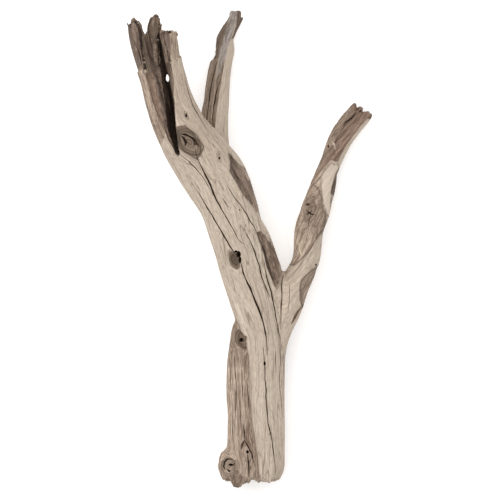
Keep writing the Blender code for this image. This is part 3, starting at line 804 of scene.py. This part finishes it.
def rib_height(points):
    """Height of the long low ribs of the grain: noise drawn out along the strands."""
    total = np.zeros(len(points))
    weights = np.full(len(points), LEAST_WEIGHT)
    for number, (reach, across, rise) in enumerate(strand_places(points)):
        weight = np.exp(-HOLD * reach**2)
        for height, breadth, length in RIBS:
            place = np.column_stack([across / breadth, rise / breadth, points[:, 1] / length])
            total += weight * height * grid_noise(place, 10 + number)
        weights += weight
    return total / weights


def fine_height(places, bare):
    """Height of the fine ribs, and of the furrows, which are deep where the wood is bare."""
    total = np.zeros(len(places))
    rough = COVERED_RIBS + (1 - COVERED_RIBS) * ramp(bare, -0.5, 1.5)
    furrowed = COVERED_FURROWS + (1 - COVERED_FURROWS) * ramp(bare, 0, 1.5)
    for number, (height, breadth, length) in enumerate(FINE_RIBS):
        total += rough * height * grid_noise(places / (breadth, breadth, length), 20 + number)
    for number, (depth, breadth, length, width) in enumerate(FURROWS):
        wave = np.abs(grid_noise(places / (breadth, breadth, length), 30 + number))
        total -= furrowed * depth * np.clip(1 - wave / width, 0, 1)
    return total


def knot_height(points, knot, heart):
    """Height that a knot adds: a swollen rim round a sunken eye."""
    out = knot_reach(points, knot, heart)
    swell = np.exp(-(((out - 1.0) / RIM_WIDTH) ** 2))
    sink = np.maximum(0, 1 - (out / PIT_REACH) ** 2)
    return knot.rim * swell - knot.pit * sink


def read_skin(obj):
    count = len(obj.data.vertices)
    points, normals = np.empty(count * 3), np.empty(count * 3)
    obj.data.vertices.foreach_get("co", points)
    obj.data.vertices.foreach_get("normal", normals)
    return points.reshape(-1, 3) / MM, normals.reshape(-1, 3)


smooth_points, smooth_normals = read_skin(driftwood)
places = grain(smooth_points)
facing = smooth_normals[:, 2]
bare_found = bare_places(smooth_points, places, facing)
bare = np.max([distance for *_, distance in bare_found], axis=0)
height = rib_height(smooth_points) + fine_height(places, bare)
for knot, heart in zip(KNOTS, knot_hearts):
    height += knot_height(smooth_points, knot, heart)

BORDER_LAP = -0.2
TURNED_AWAY = 0.35
TEAR_REACH = 9
TEAR_FULL = 1
TEAR_BEYOND = 3
SPLINTER_WIDTH = 1.7
SHORTEST_TEAR = -0.35

# Each torn end is (break, the way in from it, how deep it is torn).
ENDS = [
    ("crown_break", (0.15, -1, 0), 3.0),
    ("foot_break", (0, 1, 0), 2.0),
    ("right_limb_break", (-0.6, -0.8, 0), 2.5),
    ("back_limb_break", (-0.3, -1, 0), 0.9),
]
carved = smooth_points + smooth_normals * height[:, None]
sunk = np.array([
    depth * ramp(distance, BORDER_LAP, wall) * (ramp(facing * side, 0, TURNED_AWAY) if side else 1)
    for side, depth, wall, _, _, distance in bare_found
])
sides = np.array([found.side for found in bare_found])[sunk.argmax(axis=0)]
inward = np.where(sides[:, None] == 0, smooth_normals, sides[:, None] * (0, 0, 1))
carved -= inward * (sunk.max(axis=0) + sunk.min(axis=0))[:, None]
for number, (name, direction, most) in enumerate(ENDS):
    from_break = -outline_distance(smooth_points, BREAKS[name])
    near = ramp(-from_break, -TEAR_REACH, -TEAR_FULL) * (from_break > -TEAR_BEYOND)
    cells = np.floor(places[:, :2] / SPLINTER_WIDTH).astype(np.int64)
    tears = np.random.default_rng(50 + number).uniform(SHORTEST_TEAR, 1, NOISE_SIZE)
    torn = tears[(cells @ NOISE_STRIDES[:2]) % NOISE_SIZE]
    carved += (near * torn * most)[:, None] * np.array(direction)
driftwood.data.vertices.foreach_set("co", (carved * MM).ravel())
driftwood.data.update()

FACES_KEPT = 165000
KEEP_NEAR = 2.5
KEEP_FACTOR = 6
kept = driftwood.vertex_groups.new(name="keep")
border_gap = np.min([np.abs(found.distance) for found in bare_found], axis=0)
for index in np.flatnonzero(border_gap < KEEP_NEAR):
    kept.add([int(index)], 1.0, "REPLACE")
triangles = sum(len(p.vertices) - 2 for p in driftwood.data.polygons)
step = driftwood.modifiers.new("thin_out", "DECIMATE")
step.ratio = FACES_KEPT / triangles
step.vertex_group = "keep"
step.vertex_group_factor = KEEP_FACTOR
step.invert_vertex_group = True
apply_modifiers(driftwood)

# Drying checks and borings. As the wood dried it split along the grain in thin wedges, and beetles left
# round holes. The ground has worn the wood flat where it rests.

# A check is (side, half width, depth, path), a hole (side, x, y, half width, half length, depth).
CHECKS = [
    (1, 0.62, 6, [
        (-51.4, 95.3), (-49.1, 85.8), (-44.3, 74.9), (-37.2, 60.4), (-31.4, 46.8), (-25.7, 36.8),
        (-21.3, 28.7), (-16.2, 20.1), (-10.8, 9.9), (-6.1, 5.7),
    ]),
    (1, 0.45, 4, [(-66, 90.1), (-58.9, 84.2), (-51.6, 77.1), (-45.1, 69.2), (-40.1, 61.3), (-34.2, 51)]),
    (1, 0.65, 6, [
        (-48.4, 54.7), (-42.3, 43.1), (-37.2, 35.2), (-30.7, 23.6), (-24.2, 12.8), (-19.2, 4.2),
        (-15.5, -1.6), (-12.3, -5.2),
    ]),
    (1, 0.45, 4, [
        (-21.7, 61.3), (-19.3, 56.6), (-13.2, 47.2), (-9.7, 43.1), (-3.2, 33.8), (0, 27.8), (4.7, 20.8),
        (6.6, 14.2), (9, 6.6),
    ]),
    (1, 0.35, 3, [(-25.7, 49.1), (-23, 44.3), (-20.3, 40.1)]),
    (1, 0.55, 5, [
        (-4.7, 17.2), (0.4, 7.7), (2.8, 2.8), (6.1, -7.5), (8.4, -14.6), (10.9, -25.5), (15.1, -35.8),
        (18.9, -44.3),
    ]),
    (1, 0.72, 8, [
        (-10.4, -7.5), (-8.5, -11.3), (-6.7, -21.4), (0, -35.8), (5.1, -48.1), (10.1, -61.8),
        (13.5, -72.6), (15.6, -87.7), (16, -99.1),
    ]),
    (1, 0.6, 5, [
        (13.2, -11.3), (17, -31.1), (19.8, -39.6), (22.2, -50), (24.5, -63.2), (26.4, -75.5),
        (28.3, -83),
    ]),
    (1, 0.6, 3, [(31.6, -23.6), (29.7, -33), (29.9, -44.3), (29.4, -57.5), (29.1, -75.5)]),
    (1, 0.3, 2, [(37.3, -32.1), (36.8, -44.3), (36.3, -56.6)]),
    (1, 0.5, 5, [
        (12.3, -91.5), (13.2, -103.8), (13.8, -107.1), (13.9, -116.3), (15.1, -132.1), (16, -150.9),
        (17.9, -167.9), (20.8, -179.2), (22.2, -193.4), (24.5, -212.3),
    ]),
    (1, 0.35, 3, [(24.2, -95.2), (24.2, -116)]),
    (1, 0.25, 2, [(28.5, -82.5), (29.2, -92.5), (27.8, -118.9), (28.3, -132.1), (30.8, -158.5)]),
    (1, 0.8, 5, [(-5.9, -166), (-5.2, -172), (-4.9, -178.5)]),
    (1, 1.0, 4, [(-8.5, -188.5), (-7.4, -184), (-5.2, -179.2)]),
    (1, 0.6, 4, [(-5.2, -179.2), (-2.6, -184), (1.4, -192), (3.6, -201)]),
    (1, 0.7, 5, [(-2.4, -191), (-2, -198), (-1.4, -206), (-1, -215)]),
    (1, 0.45, 4, [(101.4, 132.1), (96.2, 124.5), (90.6, 120.8), (88.2, 117)]),
    (1, 2.0, 4, [(51, -51), (48, -54.8), (45, -58.6), (42.8, -62.6), (41, -66), (39, -70)]),
    (1, 0.35, 3, [(-61.3, 160.4), (-54.7, 138.7), (-50, 129.2), (-44.3, 119.8), (-38.7, 110.4)]),
    (1, 1.1, 5, [
        (-65.1, 108.9), (-61.3, 108.6), (-56.6, 106.6), (-53.8, 104.7), (-50.9, 100.9), (-47.6, 97.2),
    ]),
    (1, 1.1, 5, [(-64.6, 107.4), (-61.8, 104.7), (-60.4, 100.9), (-61, 97.5)]),
    (1, 0.6, 3, [(58.5, 37.3), (56, 35), (53.5, 33.3)]),
    (1, 0.6, 3, [(62.2, 33), (57.5, 34), (52.8, 37.7)]),
    (1, 0.5, 3, [(57.5, 34), (55.7, 27.4), (54.2, 21.4)]),
    (1, 0.35, 3, [(-20, -104), (-18.5, -118), (-18.2, -134)]),
    (1, 0.4, 3, [(-14.8, -100), (-13.5, -118), (-13.2, -140), (-13.8, -158)]),
    (1, 0.3, 3, [(-8, -112), (-7.2, -130), (-6.5, -144)]),
    (1, 0.3, 3, [(-2.2, -126), (-1.4, -144), (-0.6, -158)]),
    (1, 0.35, 3, [(-17, -150), (-16.4, -166), (-17.2, -182)]),
    (1, 0.3, 3, [(-9.8, -142), (-9.2, -156), (-9.6, -170)]),
    (1, 1.0, 4, [
        (-14.6, -199.5), (-17.5, -197.4), (-21.5, -197.6), (-24.2, -200.4), (-25, -204.6), (-23, -208.2),
    ]),
    (1, 0.8, 3, [(-14.4, -201.4), (-17, -203.6), (-20.5, -202.8)]),
    (1, 0.7, 3, [(-21.6, -206.4), (-20, -208.6), (-18, -209.8)]),
    (1, 0.5, 4, [(-31.1, 178.3), (-34.9, 162.3), (-37.4, 149.1), (-39.2, 134.9), (-41.5, 117.9)]),
    (1, 0.45, 4, [(-27.7, 162.3), (-32.5, 146.2), (-34.9, 130.2), (-36.4, 115.1)]),
    (1, 0.5, 4, [(-108.5, 196.2), (-105.7, 188.7), (-102.8, 181.1), (-101.9, 173.6)]),
    (-1, 0.8, 6, [(8, -30), (4, -70), (3, -110), (6, -160)]),
    (-1, 0.6, 5, [(-52, 100), (-38, 72), (-26, 52)]),
    (-1, 0.5, 4, [(-92, 190), (-84, 160), (-74, 132), (-66, 112)]),
    (-1, 0.5, 4, [(18, -90), (20, -130), (18, -170), (15, -205)]),
    (-1, 0.4, 3, [(40, -40), (48, -10), (54, 20)]),
    (-1, 0.45, 4, [(-6, 40), (0, 10), (6, -20)]),
]
HOLES = [
    (1, -59.9, 126.4, 1.0, 1.8, 4),
    (1, -28.8, 86.3, 0.9, 1.4, 4),
    (1, -10.8, -4.0, 2.4, 3.2, 16),
    (1, -13.2, -1.4, 1.5, 1.2, 9),
    (1, -9.4, -9.2, 1.4, 3.4, 11),
    (1, -51.4, 101.2, 1.7, 3.2, 3),
    (1, 13.8, -107.1, 1.2, 2.3, 6),
    (1, -2.4, -190.6, 1.4, 1.5, 7),
    (1, -18.2, -202.8, 2.0, 1.3, 5),
    (1, -19.4, -208.5, 0.9, 0.8, 4),
    (1, -8.2, -84.9, 1.9, 2.0, 6),
    (1, -4.1, -83, 1.3, 2.3, 5),
    (1, 54.6, 43, 2.3, 1.4, 3),
    (1, 62.3, -13.9, 1.0, 1.0, 3),
    (1, 74.1, 98.1, 0.9, 1.6, 4),
    (1, -9.9, 37.7, 0.7, 0.7, 2),
    (-1, -18, 32, 1.5, 2.0, 6),
    (-1, 12, -118, 1.6, 1.8, 6),
    (-1, 60, 21, 1.1, 1.4, 4),
]
CHECK_WANDER = 0.32
CHECK_SWELL = (0.7, 1.65)
CHECK_TIP = 0.12


def check_blade(name, check, tree, random):
    """The thin wedge that opens a drying check, laid along the surface where the check runs."""
    side, half_width, depth, line = check
    path = smooth_rows([(x, y, 0, half_width, depth) for x, y in line], pitch=6)
    path[:, 0] += random.uniform(-CHECK_WANDER, CHECK_WANDER, len(path)) * MM
    path[:, 3] *= random.uniform(*CHECK_SWELL, len(path))
    taper = np.sin(np.linspace(CHECK_TIP, np.pi - CHECK_TIP, len(path))) ** 0.6
    rows = []
    for (x, y, _, wide, deep), share in zip(path, taper):
        hit = surface_hit(tree, side, x, y)
        if hit:
            rows.append((x / MM, y / MM, hit.z / MM, wide * share / MM, deep * share / MM))
    return loft(name, rows, sides=4, pitch=8) if len(rows) > 2 else None


def bore(name, hole, tree):
    """The rounded end of a boring, set into the surface."""
    side, x, y, half_width, half_length, depth = hole
    hit = surface_hit(tree, side, x * MM, y * MM)
    bm = bmesh.new()
    size = Matrix.Diagonal((half_width * MM, half_length * MM, depth * MM, 1))
    bmesh.ops.create_icosphere(bm, subdivisions=2, radius=1, matrix=Matrix.Translation(hit) @ size)
    return mesh_object(name, bm)


def ground_block():
    """All that lies below the ground, which leaves the wood worn flat where it rests."""
    deep = 40 * MM
    bm = bmesh.new()
    size = Matrix.Diagonal((LENGTH, 2 * LENGTH, deep, 1))
    bmesh.ops.create_cube(bm, size=1, matrix=Matrix.Translation((0, 0, -deep / 2)) @ size)
    return mesh_object("ground", bm)


carved_tree = skin_tree(driftwood)
random = np.random.default_rng(60)
tools = [check_blade(f"check_{i}", check, carved_tree, random) for i, check in enumerate(CHECKS)]
tools += [bore(f"bore_{i}", hole, carved_tree) for i, hole in enumerate(HOLES)]
cut(driftwood, [tool for tool in tools if tool] + [ground_block()])

# What the finish reads from each point of the surface: its place in the grain, how far inside a bare
# place it lies and that place's colour, and how open it is to the sky, by which painted shade darkens
# the colour where the surface lies deep in a hollow or a crack.

RAYS = 12
RAY_START = 0.25
RAY_SPREAD = 0.98
SHADE_REACH = 26
RAISED_BARE = -2.0
EDGE_AT = 0.2
EDGE_WIDTH = 0.7

# A dark ring runs round the stain of every knot that isn't dark all over.
DARK_RING = 1.6
DARK_RING_AT = 0.92
DARK_RING_WIDTH = 0.09
DARK_ALL_OVER = 0.8

# How much duller the wood is up its stem, at its foot, and low down on its right.
HEAD_DULL = 0.6
FOOT_DULL = 0.4
RIGHT_DULL = 0.7


def mesh_values(obj, name, kind, values):
    layer = obj.data.attributes.new(name, kind, "POINT")
    field = {"FLOAT": "value", "FLOAT_VECTOR": "vector", "FLOAT_COLOR": "color"}[kind]
    layer.data.foreach_set(field, np.ascontiguousarray(values, np.float32).ravel())


def openness(obj, points, normals):
    """Share of the sky that each point of the surface sees past what is nearer than SHADE_REACH."""
    tree = skin_tree(obj)
    spread = np.random.default_rng(7).normal(size=(RAYS, 3))
    spread /= np.linalg.norm(spread, axis=1)[:, None]
    seen = np.zeros(len(points))
    starts = (points + normals * RAY_START) * MM
    for ray in spread:
        aims = normals + ray * RAY_SPREAD
        for index, (start, aim) in enumerate(zip(starts, aims)):
            gap = tree.ray_cast(Vector(start), Vector(aim), SHADE_REACH * MM)[3]
            seen[index] += 1 if gap is None else gap / (SHADE_REACH * MM)
    return seen / RAYS


final_points, final_normals = read_skin(driftwood)
nearest = KDTree(len(carved))
for index, point in enumerate(carved):
    nearest.insert(point, index)
nearest.balance()
source = np.array([nearest.find(point)[1] for point in final_points])
plain_points = final_points - (carved - smooth_points)[source]
final_places = grain(plain_points)
final_found = bare_places(plain_points, final_places, facing[source])
distances = np.array([distance for *_, distance in final_found])
tints = np.array([found.tint for found in final_found])
edge_lines = [
    found.edge * np.exp(-(((found.distance - EDGE_AT) / EDGE_WIDTH) ** 2)) for found in final_found
]
bare_tint = tints[distances.argmax(axis=0)]
for found in final_found:
    cover = ramp(found.distance, -0.5, max(0.5, found.wall))[:, None]
    bare_tint = bare_tint * (1 - cover) + found.tint * cover
stain = np.zeros(len(plain_points))
for knot, heart in zip(KNOTS, knot_hearts):
    reach = knot_reach(plain_points, knot, heart)
    ring = DARK_RING * np.exp(-(((reach - DARK_RING_AT) / DARK_RING_WIDTH) ** 2))
    shade = 1 - ramp(reach, 0.85, 1.05) + ring * (knot.stain < DARK_ALL_OVER)
    stain = np.maximum(stain, knot.stain * shade)
mesh_values(driftwood, "grain", "FLOAT_VECTOR", final_places)
proud = np.array([[found.depth < 0] for found in final_found])
lowered = np.where(proud, -FAR, distances).max(axis=0)
raised = np.where(proud, distances, -FAR).max(axis=0)
mesh_values(driftwood, "bare", "FLOAT", np.where(raised > 0, RAISED_BARE, lowered))
mesh_values(driftwood, "raised", "FLOAT", ramp(raised, -0.2, 0.4))
mesh_values(driftwood, "bare_tint", "FLOAT_COLOR", np.column_stack([bare_tint, np.ones(len(bare_tint))]))
mesh_values(driftwood, "stain", "FLOAT", stain)
mesh_values(driftwood, "edge", "FLOAT", np.max(edge_lines, axis=0))
x, y = plain_points[:, 0], plain_points[:, 1]
on_stem = strand_reaches(plain_points).argmin(axis=0) == 0
head_dull = HEAD_DULL * ramp(y, 40, 130) * on_stem
foot_dull = FOOT_DULL * ramp(-y, 140, 200)
right_dull = RIGHT_DULL * ramp(x, 26, 36) * ramp(-y, 70, 110)
dull = np.max([head_dull, foot_dull, right_dull], axis=0)
mesh_values(driftwood, "dull", "FLOAT", np.clip(dull + 0.25 * grid_noise(plain_points / 22, 43), 0, 1))
mesh_values(driftwood, "open", "FLOAT", openness(driftwood, final_points, final_normals))

# The finish: bone-dry weathered hardwood, silver-beige outside and brown beneath, with no oil or varnish
# on it.


def grain_group():
    """Tone and thin dark lines of the grain at one breadth and length, both given in millimetres."""
    group = bpy.data.node_groups.new("wood_grain", "ShaderNodeTree")
    group.interface.new_socket("Place", in_out="INPUT", socket_type="NodeSocketVector")
    for name in ("Breadth", "Length", "Line width"):
        group.interface.new_socket(name, in_out="INPUT", socket_type="NodeSocketFloat")
    for name in ("Tone", "Line"):
        group.interface.new_socket(name, in_out="OUTPUT", socket_type="NodeSocketFloat")
    nodes, links = group.nodes, group.links
    entry = nodes.new("NodeGroupInput")
    leave = nodes.new("NodeGroupOutput")
    sizes = nodes.new("ShaderNodeCombineXYZ")
    links.new(entry.outputs["Breadth"], sizes.inputs["X"])
    links.new(entry.outputs["Breadth"], sizes.inputs["Y"])
    links.new(entry.outputs["Length"], sizes.inputs["Z"])
    drawn = nodes.new("ShaderNodeVectorMath")
    drawn.operation = "DIVIDE"
    links.new(entry.outputs["Place"], drawn.inputs[0])
    links.new(sizes.outputs["Vector"], drawn.inputs[1])
    noise = nodes.new("ShaderNodeTexNoise")
    noise.inputs["Scale"].default_value = 1
    noise.inputs["Detail"].default_value = 2
    noise.inputs["Roughness"].default_value = 0.55
    links.new(drawn.outputs["Vector"], noise.inputs["Vector"])
    links.new(noise.outputs["Fac"], leave.inputs["Tone"])
    middle = nodes.new("ShaderNodeMath")
    middle.operation = "SUBTRACT"
    middle.inputs[1].default_value = 0.5
    links.new(noise.outputs["Fac"], middle.inputs[0])
    away = nodes.new("ShaderNodeMath")
    away.operation = "ABSOLUTE"
    links.new(middle.outputs["Value"], away.inputs[0])
    thin = nodes.new("ShaderNodeMapRange")
    thin.inputs["From Min"].default_value = 0
    thin.inputs["To Min"].default_value = 1
    thin.inputs["To Max"].default_value = 0
    links.new(away.outputs["Value"], thin.inputs["Value"])
    links.new(entry.outputs["Line width"], thin.inputs["From Max"])
    links.new(thin.outputs["Result"], leave.inputs["Line"])
    return group


weathered_wood = bpy.data.materials.new("weathered_wood")
weathered_wood.use_nodes = True
nodes, links = weathered_wood.node_tree.nodes, weathered_wood.node_tree.links
shader = nodes["Principled BSDF"]
shader.inputs["Specular IOR Level"].default_value = 0.25
lines_of_grain = grain_group()


def surface_value(name, output):
    node = nodes.new("ShaderNodeAttribute")
    node.attribute_name = name
    return node.outputs[output]


def strengths(value, low, high, start=0.0, end=1.0):
    """Maps a value to a share, smoothly from start at low to end at high."""
    node = nodes.new("ShaderNodeMapRange")
    node.interpolation_type = "SMOOTHSTEP"
    for socket, number in zip(("From Min", "From Max", "To Min", "To Max"), (low, high, start, end)):
        node.inputs[socket].default_value = number
    links.new(value, node.inputs["Value"])
    return node.outputs["Result"]


def reckon(operation, first, second):
    node = nodes.new("ShaderNodeMath")
    node.operation = operation
    for socket, value in zip(node.inputs, (first, second)):
        if isinstance(value, (int, float)):
            socket.default_value = value
        else:
            links.new(value, socket)
    return node.outputs["Value"]


def blend_colours(share, under, over, way="MIX"):
    node = nodes.new("ShaderNodeMix")
    node.data_type = "RGBA"
    node.blend_type = way
    sockets = [s for s in node.inputs if s.type == "RGBA"]
    if isinstance(share, (int, float)):
        node.inputs[0].default_value = share
    else:
        links.new(share, node.inputs[0])
    for socket, value in zip(sockets, (under, over)):
        if isinstance(value, tuple):
            socket.default_value = (*value, 1)
        else:
            links.new(value, socket)
    return [s for s in node.outputs if s.type == "RGBA"][0]


def grain_at(breadth, length, width):
    node = nodes.new("ShaderNodeGroup")
    node.node_tree = lines_of_grain
    links.new(grain_place, node.inputs["Place"])
    node.inputs["Breadth"].default_value = breadth
    node.inputs["Length"].default_value = length
    node.inputs["Line width"].default_value = width
    return node.outputs["Tone"], node.outputs["Line"]


def grain_coats(base, coats):
    """Lays colours over a base, each by how strong its tone of the grain is."""
    for tone, low, high, start, end, colour in coats:
        base = blend_colours(strengths(tone, low, high, start, end), base, colour)
    return base


grain_place = surface_value("grain", "Vector")
bare_in = surface_value("bare", "Fac")
open_sky = surface_value("open", "Fac")
broad_tone, broad_line = grain_at(9, 160, 0.012)
mid_tone, mid_line = grain_at(2.6, 60, 0.02)
fine_tone, fine_line = grain_at(0.8, 14, 0.04)
hair_tone = grain_at(0.55, 5, 0.05)[0]
pore_tone = grain_at(1.1, 3.0, 0.05)[0]

# The silvered outside.
BEIGE = (0.53, 0.437, 0.350)
BONE = (0.625, 0.525, 0.428)
FAWN = (0.42, 0.332, 0.258)
BLEACHED = (0.70, 0.60, 0.49)
HAIR_BROWN = (0.33, 0.26, 0.20)
PORE_BROWN = (0.25, 0.19, 0.145)
LINE_BROWN = (0.18, 0.135, 0.10)
pale = blend_colours(strengths(broad_tone, 0.35, 0.65), BEIGE, BONE)
pale = grain_coats(pale, [
    (mid_tone, 0.3, 0.7, 0.0, 0.6, FAWN),
    (fine_tone, 0.35, 0.65, 0.0, 0.5, BLEACHED),
    (hair_tone, 0.35, 0.6, 0.55, 0.0, HAIR_BROWN),
    (pore_tone, 0.60, 0.72, 0.0, 0.45, PORE_BROWN),
])
pale = blend_colours(reckon("MULTIPLY", broad_line, 0.7), pale, LINE_BROWN)
line_share = reckon("MULTIPLY", mid_line, strengths(broad_tone, 0.42, 0.58, 0.1, 0.75))
pale = blend_colours(line_share, pale, LINE_BROWN)
dull_share = surface_value("dull", "Fac")
pale = blend_colours(dull_share, pale, blend_colours(1.0, pale, (0.80, 0.77, 0.74), "MULTIPLY"))
bare_tint = surface_value("bare_tint", "Color")
pale = blend_colours(reckon("MULTIPLY", surface_value("raised", "Fac"), 0.65), pale, bare_tint)

# The bare brown wood, with dirt in its grooves.
GROOVE_DIRT = (0.05, 0.034, 0.024)
lighter = blend_colours(1.0, bare_tint, (1.45, 1.47, 1.48), "MULTIPLY")
darker = blend_colours(1.0, bare_tint, (0.36, 0.31, 0.27), "MULTIPLY")
brown = grain_coats(bare_tint, [
    (broad_tone, 0.5, 0.7, 0.0, 0.75, lighter),
    (mid_tone, 0.35, 0.58, 0.75, 0.0, darker),
    (fine_tone, 0.45, 0.66, 0.0, 0.7, lighter),
    (hair_tone, 0.35, 0.6, 0.5, 0.0, darker),
])
dirt = blend_colours(0.75, brown, GROOVE_DIRT)
brown = blend_colours(reckon("MULTIPLY", mid_line, 0.9), brown, dirt)
brown = blend_colours(reckon("MULTIPLY", fine_line, 0.5), brown, dirt)

# The two together, the knots, the dark borders of dirt and painted shade, and the painted shade of what
# lies deep.
KNOT_DARK = (0.075, 0.053, 0.037)
KNOT_LIGHT = (0.16, 0.118, 0.084)
BORDER_DIRT_AND_SHADE = (0.07, 0.048, 0.034)
DEEP_SHADE = (0.022, 0.015, 0.011)
ragged_in = reckon("ADD", bare_in, reckon("MULTIPLY", reckon("SUBTRACT", fine_tone, 0.5), 1.2))
colour = blend_colours(strengths(ragged_in, -0.3, 0.4), pale, brown)
knot_brown = blend_colours(strengths(mid_tone, 0.35, 0.65), KNOT_DARK, KNOT_LIGHT)
colour = blend_colours(surface_value("stain", "Fac"), colour, knot_brown)
# A dark line along the border of each bare place: dirt and painted shade at the step.
edge_share = reckon("MULTIPLY", surface_value("edge", "Fac"), strengths(mid_tone, 0.3, 0.6, 0.3, 0.9))
colour = blend_colours(edge_share, colour, BORDER_DIRT_AND_SHADE)
# Painted shade: the colour darkens where little of the sky is open, and goes almost black where hardly any
# is.
shaded = blend_colours(1.0, colour, (0.46, 0.36, 0.29), "MULTIPLY")
colour = blend_colours(strengths(open_sky, 0.15, 0.65, 1.0, 0.0), colour, shaded)
colour = blend_colours(strengths(open_sky, 0.02, 0.17, 1.0, 0.0), colour, DEEP_SHADE)
links.new(colour, shader.inputs["Base Color"])
links.new(strengths(fine_tone, 0.3, 0.7, 0.78, 0.92), shader.inputs["Roughness"])

bump = nodes.new("ShaderNodeBump")
bump.inputs["Strength"].default_value = 0.7
bump.inputs["Distance"].default_value = 0.35 * MM
dips = reckon("ADD", reckon("MULTIPLY", mid_line, 0.5), reckon("MULTIPLY", broad_line, 0.5))
links.new(reckon("SUBTRACT", reckon("ADD", fine_tone, mid_tone), dips), bump.inputs["Height"])
links.new(bump.outputs["Normal"], shader.inputs["Normal"])

driftwood.data.materials.clear()
driftwood.data.materials.append(weathered_wood)
driftwood.data.shade_smooth()
driftwood.data.set_sharp_from_angle(angle=np.radians(48))
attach(driftwood, "root")
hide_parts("driftwood")

# The floor: a plain sheet of pale paper on a light table, which runs far past the wood. It glows a
# little, so that it stays white under the soft shadow.

FLOOR_HALF = 3.0
FLOOR_DROP = 0.0003
bm = bmesh.new()
bmesh.ops.create_grid(bm, x_segments=1, y_segments=1, size=FLOOR_HALF)
bmesh.ops.translate(bm, verts=bm.verts, vec=(0, 0, -FLOOR_DROP))
floor = mesh_object("floor", bm)
paper = bpy.data.materials.new("paper")
paper.use_nodes = True
sheet = paper.node_tree.nodes["Principled BSDF"]
sheet.inputs["Base Color"].default_value = (0.92, 0.92, 0.92, 1)
sheet.inputs["Roughness"].default_value = 0.9
sheet.inputs["Emission Color"].default_value = (1, 1, 1, 1)
sheet.inputs["Emission Strength"].default_value = 0.3
floor.data.materials.append(paper)

# The light: a bright white room, with one broad soft lamp above the head of the wood and to its left, so
# the faint shadow falls to the right and towards the foot.

room = bpy.data.worlds.new("room")
room.use_nodes = True
sky = room.node_tree.nodes["Background"]
sky.inputs["Color"].default_value = (1, 1, 1, 1)
sky.inputs["Strength"].default_value = 0.62
bpy.context.scene.world = room
lamp = bpy.data.lights.new("soft_lamp", "AREA")
lamp.shape = "SQUARE"
lamp.size = 2.6
lamp.energy = 34
lamp_stand = new_object("soft_lamp", lamp)
lamp_place = Vector((-0.45, 0.35, 1.8))
lamp_turn = lamp_place.to_track_quat("Z", "Y").to_matrix().to_4x4()
lamp_stand.matrix_world = Matrix.Translation(lamp_place) @ lamp_turn

# The camera: far above the wood with a long lens, so that 477 of the picture's 500 pixels span its 450
# millimetres.

CAMERA_HEIGHT = 10.0
MID_HEIGHT = 45 * MM
PICTURE_PIXELS = 500
WOOD_PIXELS = 477
PICTURE_SPAN = PICTURE_PIXELS * LENGTH / WOOD_PIXELS
camera = bpy.data.cameras.new("camera")
camera.sensor_width = 36
camera.lens = camera.sensor_width * (CAMERA_HEIGHT - MID_HEIGHT) / PICTURE_SPAN
camera.clip_end = 30
camera_stand = new_object("camera", camera)
camera_stand.location = (0, 0, CAMERA_HEIGHT)
bpy.context.scene.camera = camera_stand
bpy.context.scene.view_settings.view_transform = "Standard"
